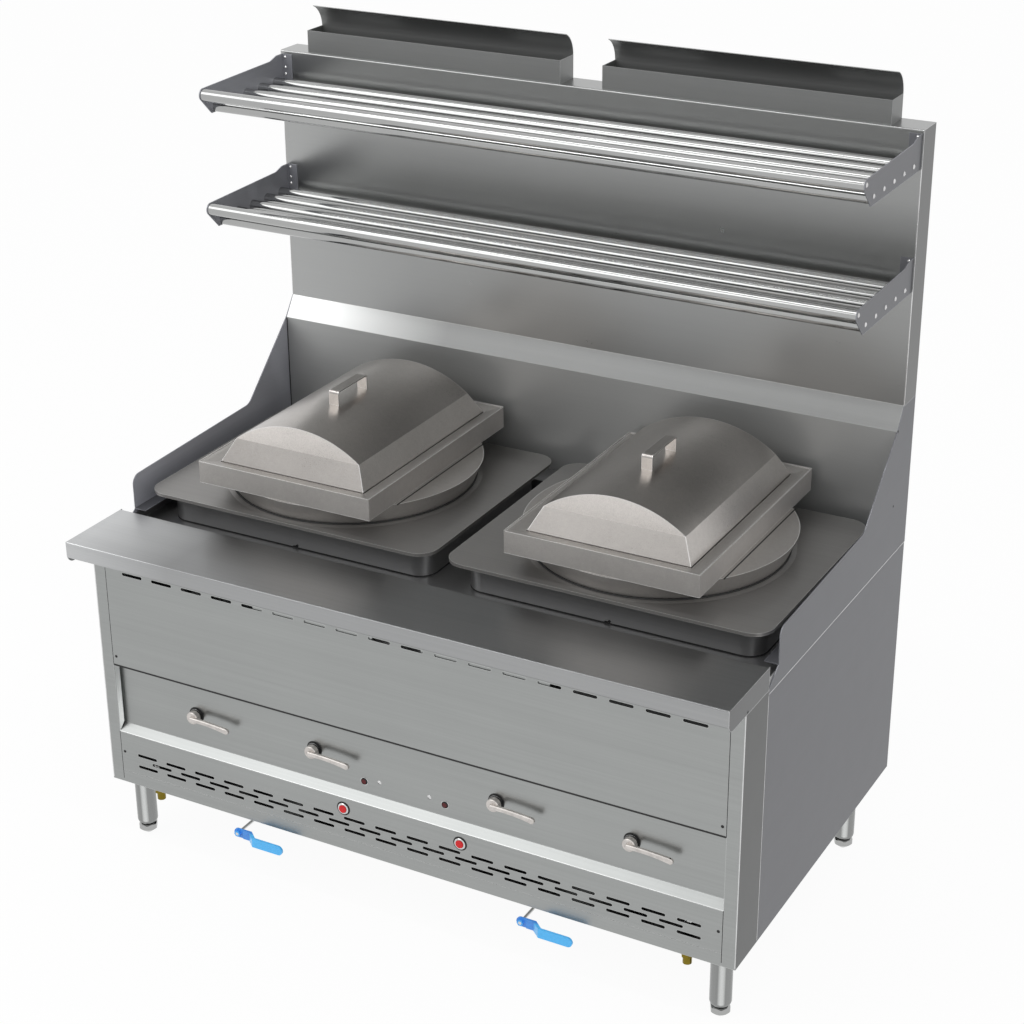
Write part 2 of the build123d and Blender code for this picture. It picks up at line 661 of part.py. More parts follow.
def pan_outline(inset):
    """The half outline of a pan about its own axis, drawn in by an inset."""
    seam = up(DECK_TOP + DECK_RING_RISE)
    slope = (PAN_RIM_RADIUS - PAN_RADIUS) / (up(PAN_RIM) - seam)
    lean = inset * math.sqrt(1 + slope**2)
    knuckle = PAN_KNUCKLE - inset
    floor = up(PAN_BOTTOM) + inset
    wall = PAN_WELL_RADIUS - inset
    foot = PAN_RADIUS - lean + slope * inset
    rim = PAN_RIM_RADIUS - lean - slope * inset
    middle = knuckle * (1 - math.sqrt(0.5))
    ThreePointArc((wall - knuckle, floor), (wall - middle, floor + middle), (wall, floor + knuckle))
    Polyline(
        (wall, floor + knuckle),
        (wall, seam + inset),
        (foot, seam + inset),
        (rim, up(PAN_RIM) - inset),
        (0, up(PAN_RIM) - inset),
        (0, floor),
        (wall - knuckle, floor),
    )


def water_pan(centre):
    """A round water pan with a flaring rim, a flat top and a mouth for the steam."""
    axis = Plane(origin=(centre, back(STATION_Y), 0), x_dir=(1, 0, 0), z_dir=(0, -1, 0))
    turn = Axis((centre, back(STATION_Y), 0), (0, 0, 1))
    with BuildPart() as pan:
        with BuildSketch(axis):
            with BuildLine():
                pan_outline(0)
            make_face()
        revolve(axis=turn)
        with BuildSketch(axis):
            with BuildLine():
                pan_outline(SHEET)
            make_face()
        revolve(axis=turn, mode=Mode.SUBTRACT)
        with BuildSketch(level(PAN_RIM)):
            with Locations((centre, back(BOX_Y))):
                Rectangle(PAN_MOUTH_X, PAN_MOUTH_Y)
        extrude(amount=-SHEET, mode=Mode.SUBTRACT)
        outlet = [(centre, back(PAN_DRAIN_Y))]
        drill(outlet, level(PAN_BOTTOM + SHEET), PIPE_BORE, SHEET)
    return pan


def deck(centre):
    """A top deck with rounded corners, a turned down edge and a ring pressed up round the pan."""
    axis = Plane(origin=(centre, back(STATION_Y), 0), x_dir=(1, 0, 0), z_dir=(0, -1, 0))
    with BuildPart() as top:
        with BuildSketch(level(DECK_TOP)):
            with Locations((centre, back(STATION_Y))):
                RectangleRounded(DECK_LENGTH, DECK_DEPTH, DECK_CORNER)
        extrude(amount=-DECK_EDGE)
        with BuildSketch(level(DECK_TOP - SHEET)):
            with Locations((centre, back(STATION_Y))):
                RectangleRounded(DECK_LENGTH - 2 * SHEET, DECK_DEPTH - 2 * SHEET, DECK_CORNER - SHEET)
        extrude(amount=-DECK_EDGE, mode=Mode.SUBTRACT)
        with BuildSketch(level(DECK_TOP)):
            with Locations((centre, back(STATION_Y))):
                Circle(DECK_RING_RADIUS)
        extrude(amount=-SHEET, mode=Mode.SUBTRACT)
        with BuildSketch(axis):
            with BuildLine():
                hole = PAN_WELL_RADIUS + PAN_PLAY
                Polyline(
                    (DECK_RING_RADIUS, up(DECK_TOP)),
                    (PAN_RADIUS, up(DECK_TOP + DECK_RING_RISE)),
                    (hole, up(DECK_TOP + DECK_RING_RISE)),
                    (hole, up(DECK_TOP + DECK_RING_RISE - SHEET)),
                    (PAN_RADIUS, up(DECK_TOP + DECK_RING_RISE - SHEET)),
                    (DECK_RING_RADIUS, up(DECK_TOP - SHEET)),
                    close=True,
                )
            make_face()
        revolve(axis=Axis((centre, back(STATION_Y), 0), (0, 0, 1)))
    return top


def chamber(centre):
    """The wall round a pan and its burner, from under the deck down through the gutter."""
    with BuildPart() as wall:
        with BuildSketch(level(CHAMBER_LOW)):
            chamber_outline(centre, 0)
            chamber_outline(centre, SHEET)
        extrude(amount=DECK_TOP - SHEET - CHAMBER_LOW)
        with BuildSketch(level(CHAMBER_LOW)):
            chamber_outline(centre, SHEET)
        extrude(amount=DECK_TOP - SHEET - CHAMBER_LOW, mode=Mode.SUBTRACT)
        with BuildSketch(facing(CHAMBER_FRONT)):
            with Locations((centre, up(GUTTER_FLOOR + WEEP_HEIGHT / 2))):
                SlotOverall(WEEP_LENGTH, WEEP_HEIGHT)
        extrude(amount=-SHEET, mode=Mode.SUBTRACT)
        with BuildSketch(facing(CHAMBER_BACK)):
            patch(
                centre - DUCT_THROAT / 2 + THIN_SHEET,
                centre + DUCT_THROAT / 2 - THIN_SHEET,
                up(DUCT_LOW + THIN_SHEET),
                up(DUCT_LOW + DUCT_THROAT_HEIGHT - THIN_SHEET),
            )
        extrude(amount=SHEET, mode=Mode.SUBTRACT)
        with BuildSketch(facing(CHAMBER_FRONT)):
            for turn in (-1, 1):
                with Locations((centre + turn * LEVER_SPREAD, up(LEVER_Z))):
                    Circle(MIXER_RADIUS + SHEET)
        extrude(amount=-SHEET, mode=Mode.SUBTRACT)
    return wall


def steam_box(centre):
    """A steam box: four walls, a floor with a mouth, and a mitred flange that the lid drops into."""
    middle = (centre, back(BOX_Y))
    neck_x = BOX_LENGTH - 2 * BOX_FLANGE
    neck_y = BOX_DEPTH - 2 * BOX_FLANGE
    with BuildPart() as box:
        with BuildSketch(level(PAN_RIM)):
            with Locations(middle):
                Rectangle(BOX_LENGTH, BOX_DEPTH)
        extrude(amount=BOX_HEIGHT)
        fillet(box.edges().filter_by(Axis.Z), radius=BEND)
        with BuildSketch(level(PAN_RIM + SHEET)):
            with Locations(middle):
                Rectangle(BOX_LENGTH - 2 * SHEET, BOX_DEPTH - 2 * SHEET)
        extrude(amount=BOX_HEIGHT, mode=Mode.SUBTRACT)
        with BuildSketch(level(PAN_RIM)):
            with Locations(middle):
                Rectangle(PAN_MOUTH_X, PAN_MOUTH_Y)
        extrude(amount=SHEET, mode=Mode.SUBTRACT)
        # The flange is the space between two hoppers, one a sheet lower than the other.
        with BuildSketch(level(BOX_TOP - SHEET)):
            with Locations(middle):
                Rectangle(BOX_LENGTH - SHEET, BOX_DEPTH - SHEET)
        with BuildSketch(level(BOX_TOP - BOX_FLANGE_DROP - SHEET)):
            with Locations(middle):
                Rectangle(neck_x, neck_y)
        loft()
        with BuildSketch(level(BOX_TOP)):
            with Locations(middle):
                Rectangle(BOX_LENGTH - SHEET, BOX_DEPTH - SHEET)
        with BuildSketch(level(BOX_TOP - BOX_FLANGE_DROP)):
            with Locations(middle):
                Rectangle(neck_x, neck_y)
        loft(mode=Mode.SUBTRACT)
        # The neck round the lid's skirt, and the rest that it stands on.
        with BuildSketch(level(BOX_REST_TOP - SHEET)):
            with Locations(middle):
                Rectangle(neck_x + 2 * SHEET, neck_y + 2 * SHEET)
        extrude(amount=BOX_NECK + SHEET)
        with BuildSketch(level(BOX_REST_TOP)):
            with Locations(middle):
                Rectangle(neck_x, neck_y)
        extrude(amount=BOX_NECK + SHEET, mode=Mode.SUBTRACT)
        with BuildSketch(level(BOX_REST_TOP - SHEET)):
            with Locations(middle):
                Rectangle(neck_x - 2 * BOX_REST, neck_y - 2 * BOX_REST)
        extrude(amount=BOX_NECK + SHEET, mode=Mode.SUBTRACT)
    return box


def steam_plate(centre):
    """The perforated plate on a steam box's floor."""
    middle = (centre, back(BOX_Y))
    play = 2 * (SHEET + PLATE_GAP)
    with BuildPart() as plate:
        with BuildSketch(level(PAN_RIM + SHEET)):
            with Locations(middle):
                Rectangle(BOX_LENGTH - play, BOX_DEPTH - play)
                with GridLocations(
                    PAN_MOUTH_X / PLATE_COLUMNS, PAN_MOUTH_Y / PLATE_ROWS, PLATE_COLUMNS, PLATE_ROWS
                ):
                    Circle(PLATE_HOLE_RADIUS, mode=Mode.SUBTRACT)
        extrude(amount=SHEET)
    return plate


def lid_form(centre, inset, mode):
    """A lid's solid form, drawn in by an inset: a skirt, four slopes and a vault along Y."""
    middle = (centre, back(BOX_Y))
    with BuildSketch(level(BOX_REST_TOP)) as skirt:
        with Locations(middle):
            Rectangle(LID_LENGTH - 2 * inset, LID_DEPTH - 2 * inset)
    extrude(skirt.sketch, amount=LID_SKIRT, mode=mode)
    with BuildSketch(level(LID_EDGE)) as edge:
        with Locations(middle):
            Rectangle(LID_LENGTH - 2 * inset, LID_DEPTH - 2 * inset)
    with BuildSketch(level(LID_SHOULDER)) as shoulder:
        with Locations(middle):
            Rectangle(LID_SHOULDER_X - 2 * inset, LID_SHOULDER_Y - 2 * inset)
    loft([edge.sketch, shoulder.sketch], mode=mode)
    half = LID_SHOULDER_X / 2 - inset
    crown = up(LID_SHOULDER) + LID_ARCH - inset
    with BuildSketch(Plane.XZ.offset(-back(BOX_Y) - (LID_SHOULDER_Y / 2 - inset))) as vault:
        with BuildLine():
            foot_left = (centre - half, up(LID_SHOULDER))
            foot_right = (centre + half, up(LID_SHOULDER))
            ThreePointArc(foot_left, (centre, crown), foot_right)
            Line(foot_left, foot_right)
        make_face()
    extrude(vault.sketch, amount=LID_SHOULDER_Y - 2 * inset, mode=mode)


def lid(centre):
    """A vaulted lid of thin sheet."""
    with BuildPart() as cover:
        lid_form(centre, 0, Mode.ADD)
        lid_form(centre, THIN_SHEET, Mode.SUBTRACT)
    return cover


def lid_handle(centre):
    """A flat strap bent into a U, its feet cut to the vault."""
    start = back(BOX_Y + HANDLE_SETBACK - HANDLE_LENGTH / 2)
    end = start + HANDLE_LENGTH
    foot = up(LID_CREST) - HANDLE_STRAP
    top = up(LID_CREST) + HANDLE_HEIGHT
    with BuildPart() as strap:
        with BuildSketch(Plane.YZ.offset(centre - HANDLE_WIDTH / 2)):
            with BuildLine():
                FilletPolyline((start, foot), (start, top), (end, top), (end, foot), radius=HANDLE_BEND)
                offset(amount=HANDLE_STRAP, side=Side.RIGHT, kind=Kind.INTERSECTION)
            make_face()
        extrude(amount=HANDLE_WIDTH)
        with BuildSketch(Plane.XZ.offset(-end - HANDLE_STRAP)):
            with Locations((centre, up(LID_CREST) - LID_ARCH_RADIUS)):
                Circle(LID_ARCH_RADIUS)
        extrude(amount=HANDLE_LENGTH + 2 * HANDLE_STRAP, mode=Mode.SUBTRACT)
    return strap


for side, centre in STATIONS.items():
    save(deck(centre), f"deck_{side}")
    save(chamber(centre), f"chamber_{side}")
    save(water_pan(centre), f"water_pan_{side}")
    save(steam_box(centre), f"steam_box_{side}")
    save(steam_plate(centre), f"steam_plate_{side}")
    save(lid(centre), f"lid_{side}")
    save(lid_handle(centre), f"lid_handle_{side}")

# The back panel behind the decks, leaning back at its top.
with BuildPart() as back_panel:
    folded(
        -INNER,
        INNER,
        [
            (BACK_PANEL_Y, GUTTER_FLOOR + GUTTER_STEP),
            (BACK_PANEL_Y, BACK_PANEL_TOP),
            (BACKSPLASH_Y, BACKSPLASH_LOW),
        ],
        Side.RIGHT,
    )
    with BuildSketch(level(BACKSPLASH_LOW)):
        patch(-HALF, HALF, back(BACK_PANEL_Y), back(CABINET_DEPTH))
    extrude(amount=2 * SHEET, mode=Mode.SUBTRACT)
save(back_panel, "back_panel")

# The backsplash: a tall flat box, open below, with two openings in its top.
with BuildPart() as backsplash:
    with BuildSketch(level(BACKSPLASH_LOW)):
        patch(-HALF, HALF, back(BACKSPLASH_Y), back(CABINET_DEPTH))
    extrude(amount=BACKSPLASH_TOP - BACKSPLASH_LOW)
    front_uprights = backsplash.edges().filter_by(Axis.Z).group_by(Axis.Y)[0]
    front_top = backsplash.faces().sort_by(Axis.Y)[0].edges().sort_by(Axis.Z)[-1]
    fillet([*front_uprights, front_top], radius=BEND)
    with BuildSketch(level(BACKSPLASH_LOW)):
        patch(-INNER, INNER, back(BACKSPLASH_Y + SHEET), back(CABINET_BACK))
    extrude(amount=BACKSPLASH_TOP - BACKSPLASH_LOW - SHEET, mode=Mode.SUBTRACT)
    with BuildSketch(level(BACKSPLASH_TOP)):
        for centre in STATIONS.values():
            patch(
                centre - DUCT_WIDTH / 2 + THIN_SHEET,
                centre + DUCT_WIDTH / 2 - THIN_SHEET,
                back(BACKSPLASH_Y + RISER_SETBACK + THIN_SHEET),
                back(CABINET_BACK - DUCT_CLEARANCE - THIN_SHEET),
            )
    extrude(amount=-SHEET, mode=Mode.SUBTRACT)
save(backsplash, "backsplash")

# The rear cover of the cabinet, with a cut-out round the gas inlet.
with BuildPart() as rear_cover:
    with BuildSketch(facing(CABINET_BACK)):
        patch(-HALF + REAR_FLANGE, HALF - REAR_FLANGE, up(0), up(BACKSPLASH_LOW))
        with Locations((INLET_X, up(MANIFOLD_Z))):
            Circle(MANIFOLD_RADIUS + INLET_GAP, mode=Mode.SUBTRACT)
    extrude(amount=-SHEET)
save(rear_cover, "rear_cover")

# The flue ducts: from the chamber's back under the gutter, then up inside the backsplash.
with BuildPart() as flue_ducts:
    duct_front = BACKSPLASH_Y + SHEET + DUCT_CLEARANCE
    duct_back = CABINET_BACK - DUCT_CLEARANCE
    for inset, mode in ((0, Mode.ADD), (THIN_SHEET, Mode.SUBTRACT)):
        for centre in STATIONS.values():
            with BuildSketch(level(DUCT_LOW + inset)):
                patch(
                    centre - DUCT_WIDTH / 2 + inset,
                    centre + DUCT_WIDTH / 2 - inset,
                    back(duct_front + inset),
                    back(duct_back - inset),
                )
            extrude(amount=BACKSPLASH_TOP - SHEET - DUCT_LOW - inset, mode=mode)
            with BuildSketch(facing(CHAMBER_BACK)):
                patch(
                    centre - DUCT_THROAT / 2 + inset,
                    centre + DUCT_THROAT / 2 - inset,
                    up(DUCT_LOW + inset),
                    up(DUCT_LOW + DUCT_THROAT_HEIGHT - inset),
                )
            extrude(amount=-(duct_front + 2 * inset - CHAMBER_BACK), mode=mode)
save(flue_ducts, "flue_ducts")


def riser(x_low, x_high):
    """A low open box on the backsplash whose back sheet runs on up and curls forward."""
    front = back(BACKSPLASH_Y + RISER_SETBACK)
    rear = back(CABINET_DEPTH) - SHEET / 2
    low = up(BACKSPLASH_TOP)
    top = low + RISER_HEIGHT
    end_turn = math.radians(RISER_CURL_ANGLE)
    with BuildPart() as sheet:
        with BuildSketch(Plane.XY.offset(low)):
            patch(x_low, x_high, front, rear)
            patch(x_low + THIN_SHEET, x_high - THIN_SHEET, front + THIN_SHEET, rear, mode=Mode.SUBTRACT)
        extrude(amount=RISER_HEIGHT)
        with BuildSketch(Plane.YZ.offset(x_low)):
            with BuildLine():
                middle = rear - RISER_CURL_RADIUS
                inner = RISER_CURL_RADIUS - THIN_SHEET
                Line((rear, low), (rear, top))
                CenterArc((middle, top), RISER_CURL_RADIUS, 0, RISER_CURL_ANGLE)
                Line(
                    (
                        middle + RISER_CURL_RADIUS * math.cos(end_turn),
                        top + RISER_CURL_RADIUS * math.sin(end_turn),
                    ),
                    (middle + inner * math.cos(end_turn), top + inner * math.sin(end_turn)),
                )
                CenterArc((middle, top), inner, RISER_CURL_ANGLE, -RISER_CURL_ANGLE)
                Polyline((rear - THIN_SHEET, top), (rear - THIN_SHEET, low), (rear, low))
            make_face()
        extrude(amount=x_high - x_low)
    return sheet


save(riser(-RISER_OUTER_X, -RISER_INNER_X), "riser_left")
save(riser(RISER_INNER_X, RISER_OUTER_X), "riser_right")

# The shelves: end plates with a nose round the front tube and a flange on the backsplash.
SHELF_TUBE_LAST = BACKSPLASH_Y - SHELF_TUBE_GAP
TUBE_SPOTS = [(SHELF_FRONT + SHELF_NOSE_TUBE, SHELF_NOSE_TUBE_RISE)]
TUBE_SPOTS += [(SHELF_TUBE_LAST - i * SHELF_TUBE_PITCH, TUBE_RADIUS) for i in range(SHELF_TUBE_COUNT)]

with BuildPart() as shelf_brackets:
    for low in SHELF_LEVELS:
        for side in (-1, 1):
            outer_x = side * SHELF_PLATE_X
            with BuildSketch(Plane.YZ.offset(outer_x)) as plate:
                with BuildLine():
                    Polyline(
                        *[
                            (back(y), up(low + z))
                            for y, z in (
                                (SHELF_FRONT, SHELF_NOSE_RISE),
                                (SHELF_FRONT + SHELF_NOSE_SLOPE, 0),
                                (BACKSPLASH_Y, 0),
                                (BACKSPLASH_Y, SHELF_PLATE_HEIGHT),
                                (BACKSPLASH_Y - SHELF_FLANGE, SHELF_PLATE_HEIGHT),
                                (BACKSPLASH_Y - 2 * SHELF_FLANGE, SHELF_PLATE_HEIGHT - SHELF_CORNER_DROP),
                            )
                        ],
                        close=True,
                    )
                make_face()
                fillet(plate.vertices().sort_by(Axis.X)[0], radius=TUBE_RADIUS + SHELF_NOSE_LAP)
            extrude(amount=-side * SHEET)
            inner_x = side * (SHELF_PLATE_X - SHEET)
            flange_x = sorted((inner_x, inner_x - side * SHELF_FLANGE))
            with BuildSketch(facing(BACKSPLASH_Y)):
                patch(*flange_x, up(low), up(low + SHELF_PLATE_HEIGHT))
            extrude(amount=SHEET)
save(shelf_brackets, "shelf_brackets")

with BuildPart() as shelf_tubes:
    span = 2 * (SHELF_PLATE_X - SHEET)
    for low in SHELF_LEVELS:
        with BuildSketch(Plane.YZ.offset(-span / 2)):
            with Locations(*[(back(y), up(low + z)) for y, z in TUBE_SPOTS]):
                Circle(TUBE_RADIUS)
                Circle(TUBE_RADIUS - SHELF_TUBE_WALL, mode=Mode.SUBTRACT)
        extrude(amount=span)
save(shelf_tubes, "shelf_tubes")

# The legs: tubes drawn in at the toe, each under a square plate.
with BuildPart() as legs:
    toe = FOOT_HEIGHT + TURN_GAP
    socket = FOOT_STEM_RADIUS + SCREW_PLAY
    for x, y in LEG_SPOTS:
        section = Plane(origin=(x, back(y), 0), x_dir=(1, 0, 0), z_dir=(0, -1, 0))
        with BuildSketch(section):
            with BuildLine():
                shoulder = LEG_RADIUS - LEG_TOE_RADIUS
                Line((socket, toe), (shoulder, toe))
                CenterArc((shoulder, toe + LEG_TOE_RADIUS), LEG_TOE_RADIUS, -90, 90)
                Polyline(
                    (LEG_RADIUS, toe + LEG_TOE_RADIUS),
                    (LEG_RADIUS, LEG_HEIGHT - RAIL_SHEET),
                    (LEG_RADIUS - LEG_WALL, LEG_HEIGHT - RAIL_SHEET),
                    (LEG_RADIUS - LEG_WALL, toe + FOOT_STEM / 2),
                    (socket, toe + FOOT_STEM / 2),
                    (socket, toe),
                )
            make_face()
        revolve(axis=Axis((x, back(y), 0), (0, 0, 1)))
        with BuildSketch(Plane.XY.offset(LEG_HEIGHT - RAIL_SHEET)):
            with Locations((x, back(y))):
                RectangleRounded(LEG_PLATE, LEG_PLATE, LEG_TOE_RADIUS / 2)
        extrude(amount=RAIL_SHEET)
save(legs, "legs")


def bullet_foot(x, y):
    """A hexagonal foot on a stem that screws into its leg."""
    section = Plane(origin=(x, back(y), 0), x_dir=(1, 0, 0), z_dir=(0, -1, 0))
    with BuildPart() as foot:
        with BuildSketch(Plane.XY):
            with Locations((x, back(y))):
                RegularPolygon(FOOT_FLATS / 2, 6, major_radius=False)
        extrude(amount=FOOT_HEIGHT)
        with BuildSketch(section):
            with BuildLine():
                Polyline(
                    (0, 0),
                    (FOOT_SOLE_RADIUS, 0),
                    (FOOT_FLATS / 2 + SHEET, FOOT_TAPER),
                    (FOOT_FLATS / 2 + SHEET, FOOT_HEIGHT - SHEET),
                    (FOOT_FLATS / 2 - SHEET, FOOT_HEIGHT),
                    (0, FOOT_HEIGHT),
                    close=True,
                )
            make_face()
        revolve(axis=Axis((x, back(y), 0), (0, 0, 1)), mode=Mode.INTERSECT)
        with BuildSketch(Plane.XY.offset(FOOT_HEIGHT)):
            with Locations((x, back(y))):
                Circle(FOOT_STEM_RADIUS)
        extrude(amount=FOOT_STEM)
    return foot


for number, (x, y) in enumerate(LEG_SPOTS, start=1):
    save(bullet_foot(x, y), f"foot_{number}")

# The gas manifold: along the front, round the right corner, past the chamber, then in to the union.
with BuildPart() as gas_manifold:
    with BuildLine() as route:
        FilletPolyline(
            (MANIFOLD_END_INSET - HALF, back(MANIFOLD_Y), up(MANIFOLD_Z)),
            (MANIFOLD_TURN_X, back(MANIFOLD_Y), up(MANIFOLD_Z)),
            (MANIFOLD_TURN_X, back(CHAMBER_BACK + PIPE_BEND), up(MANIFOLD_Z)),
            (INLET_X, back(CHAMBER_BACK + PIPE_BEND + 2 * MANIFOLD_JOG), up(MANIFOLD_Z)),
            (INLET_X, back(INLET_END), up(MANIFOLD_Z)),
            radius=PIPE_BEND,
        )
    blind_end = (MANIFOLD_END_INSET - HALF, back(MANIFOLD_Y), up(MANIFOLD_Z))
    start = Plane(origin=blind_end, x_dir=(0, 1, 0), z_dir=(1, 0, 0))
    with BuildSketch(start):
        Circle(MANIFOLD_RADIUS)
        Circle(MANIFOLD_BORE, mode=Mode.SUBTRACT)
    sweep(path=route.wires()[0])
    with BuildSketch(start):
        Circle(MANIFOLD_RADIUS)
    extrude(amount=SHEET)
    with BuildSketch(facing(INLET_END - INLET_STUB)):
        with Locations((INLET_X, up(MANIFOLD_Z))):
            RegularPolygon(UNION_FLATS / 2, 6, major_radius=False)
            Circle(MANIFOLD_BORE, mode=Mode.SUBTRACT)
    extrude(amount=UNION_LENGTH)
save(gas_manifold, "gas_manifold")

# The lever valves: plug bodies on the manifold with a nozzle into each mixing tube.
with BuildPart() as gas_valves:
    for x in VALVES:
        with BuildSketch(facing(VALVE_START)):
            with Locations((x, up(LEVER_Z))):
                RectangleRounded(VALVE_WIDTH, VALVE_WIDTH, VALVE_WIDTH / 4)
        extrude(amount=-VALVE_LENGTH)
        with BuildSketch(level(MANIFOLD_Z + MANIFOLD_BORE)):
            with Locations((x, back(MANIFOLD_Y))):
                Circle(VALVE_NECK_RADIUS)
        extrude(amount=LEVER_Z - MANIFOLD_Z - MANIFOLD_BORE)
        with BuildSketch(facing(VALVE_START + VALVE_LENGTH)):
            with Locations((x, up(LEVER_Z))):
                Circle(VALVE_NOZZLE_RADIUS)
        extrude(amount=-VALVE_NOZZLE)
        drill([(x, up(LEVER_Z))], facing(VALVE_START), SPINDLE_RADIUS + SPINDLE_PLAY, VALVE_LENGTH - SHEET)
save(gas_valves, "gas_valves")

# The collars between the panel and the levers.
with BuildPart() as lever_collars:
    for x in VALVES:
        with BuildSketch(facing(PANEL_RECESS)):
            with Locations((x, up(LEVER_Z))):
                Circle(COLLAR_RADIUS)
                Circle(SPINDLE_RADIUS + TURN_GAP, mode=Mode.SUBTRACT)
        extrude(amount=COLLAR_LENGTH)
save(lever_collars, "lever_collars")


def lever(x):
    """A cast lever: an arm that droops a little towards its broad tip, a round hub, and its spindle."""
    z = up(LEVER_Z)
    hub_back = back(PANEL_RECESS - COLLAR_LENGTH - TURN_GAP)
    hub_face = back(LEVER_HUB_FACE)
    root = LEVER_ARM / 2
    tip = LEVER_TIP / 2
    tip_top = (x + LEVER_REACH - tip, z - LEVER_DROOP + tip)
    tip_low = (x + LEVER_REACH - tip, z - LEVER_DROOP - tip)
    with BuildPart() as cast:
        with BuildSketch(facing(LEVER_HUB_FACE)):
            with BuildLine():
                ThreePointArc((x, z + root), (x + LEVER_REACH / 2, z + root - LEVER_SAG), tip_top)
                ThreePointArc(tip_top, (x + LEVER_REACH, z - LEVER_DROOP), tip_low)
                ThreePointArc(tip_low, (x + LEVER_REACH / 2, z - root), (x, z - root))
                ThreePointArc((x, z - root), (x - root, z), (x, z + root))
            make_face()
        extrude(amount=LEVER_ARM_THICKNESS)
        chamfer(cast.faces().sort_by(Axis.Y)[0].edges(), length=LEVER_EDGE)
        with BuildSketch(Plane.XY.offset(z)):
            with BuildLine():
                Polyline(
                    (x, hub_back),
                    (x + LEVER_HUB_RADIUS, hub_back),
                    (x + LEVER_HUB_RADIUS, hub_face + LEVER_EDGE),
                    (x + LEVER_HUB_RADIUS - LEVER_EDGE, hub_face),
                    (x, hub_face),
                    close=True,
                )
            make_face()
        revolve(axis=Axis((x, 0, z), (0, 1, 0)))
        with BuildSketch(Plane.XZ.offset(-hub_back)):
            with Locations((x, z)):
                Circle(SPINDLE_RADIUS)
        extrude(amount=-SPINDLE_LENGTH)
    return cast


for number, x in enumerate(VALVES, start=1):
    save(lever(x), f"lever_{number}")


def burner(centre):
    """A cast burner: a slotted plate with two raised rings, two mixing tubes and a stand."""
    z = up(BURNER_Z)
    axis = Plane(origin=(centre, back(STATION_Y), 0), x_dir=(1, 0, 0), z_dir=(0, -1, 0))
    turn = Axis((centre, back(STATION_Y), 0), (0, 0, 1))
    with BuildPart() as cast:
        with BuildSketch(axis):
            patch(0, BURNER_RADIUS, z, z + BURNER_PLATE)
            for ring in (BURNER_OUTER_RING, BURNER_INNER_RING):
                patch(
                    ring - BURNER_RING / 2,
                    ring + BURNER_RING / 2,
                    z + BURNER_PLATE,
                    z + BURNER_PLATE + BURNER_RING_RISE,
                )
        revolve(axis=turn)
        with BuildSketch(Plane.XY.offset(z)):
            with Locations((centre, back(STATION_Y))):
                with PolarLocations(0, BURNER_SLOTS, start_angle=90):
                    slot_radius = (BURNER_OUTER_RING + BURNER_INNER_RING) / 2
                    line = CenterArc((0, 0), slot_radius, -BURNER_SLOT_ANGLE / 2, BURNER_SLOT_ANGLE)
                    SlotArc(line, 2 * BURNER_RING)
        extrude(amount=BURNER_PLATE, mode=Mode.SUBTRACT)
        for side in (-1, 1):
            mouth = (
                centre + side * LEVER_SPREAD,
                back(VALVE_START + VALVE_LENGTH + SHEET),
                up(LEVER_Z),
            )
            bend = (mouth[0], back(CHAMBER_FRONT + MIXER_RADIUS), up(LEVER_Z))
            end = (centre + side * BURNER_INNER_RING, back(STATION_Y - BURNER_OUTER_RING), up(LEVER_Z))
            for radius, mode in ((MIXER_RADIUS, Mode.ADD), (MIXER_BORE, Mode.SUBTRACT)):
                if mode == Mode.SUBTRACT:
                    path = [mouth, bend]
                else:
                    path = [mouth, bend, end]
                with BuildLine() as tube:
                    Polyline(*path)
                with BuildSketch(Plane(origin=mouth, x_dir=(1, 0, 0), z_dir=(0, 1, 0))):
                    Circle(radius)
                sweep(path=tube.wires()[0], transition=Transition.RIGHT, mode=mode)
        with BuildSketch(level(SKIRT_HEIGHT)):
            with Locations((centre, back(STATION_Y))):
                with GridLocations(BURNER_STAND_X, BURNER_STAND_Y, 2, 2):
                    Circle(BURNER_STAND_RADIUS)
        extrude(amount=BURNER_Z - SKIRT_HEIGHT)
    return cast


for side, centre in STATIONS.items():
    save(burner(centre), f"burner_{side}")

# The igniters: a ceramic rod in a bracket on each burner's rear edge.
with BuildPart() as igniters:
    for centre in STATIONS.values():
        rod_y = STATION_Y + BURNER_RADIUS + 2 * IGNITER_RADIUS
        with BuildSketch(level(BURNER_Z)):
            patch(
                centre - 2 * IGNITER_RADIUS,
                centre + 2 * IGNITER_RADIUS,
                back(STATION_Y + BURNER_RADIUS),
                back(rod_y + 2 * IGNITER_RADIUS),
            )
        extrude(amount=RAIL_SHEET)
        with BuildSketch(level(BURNER_Z + RAIL_SHEET - IGNITER_LENGTH / 2)):
            with Locations((centre, back(rod_y))):
                Circle(IGNITER_RADIUS)
        extrude(amount=IGNITER_LENGTH)
save(igniters, "igniters")


def push_button(x):
    """A push button: a domed cap on a plunger."""
    with BuildPart() as button:
        with BuildSketch(facing(-BUTTON_PROUD)):
            with Locations((x, up(BUTTON_Z))):
                Circle(BUTTON_RADIUS)
        extrude(amount=-(BUTTON_PROUD + PANEL_RETURN / 2))
        fillet(button.faces().sort_by(Axis.Y)[0].edges(), radius=SHEET)
        with BuildSketch(facing(PANEL_RETURN / 2)):
            with Locations((x, up(BUTTON_Z))):
                Circle(BUTTON_RADIUS / 2)
        extrude(amount=-PANEL_RETURN / 2)
    return button


for side, sign in (("left", -1), ("right", 1)):
    save(push_button(sign * BUTTON_X), f"button_{side}")

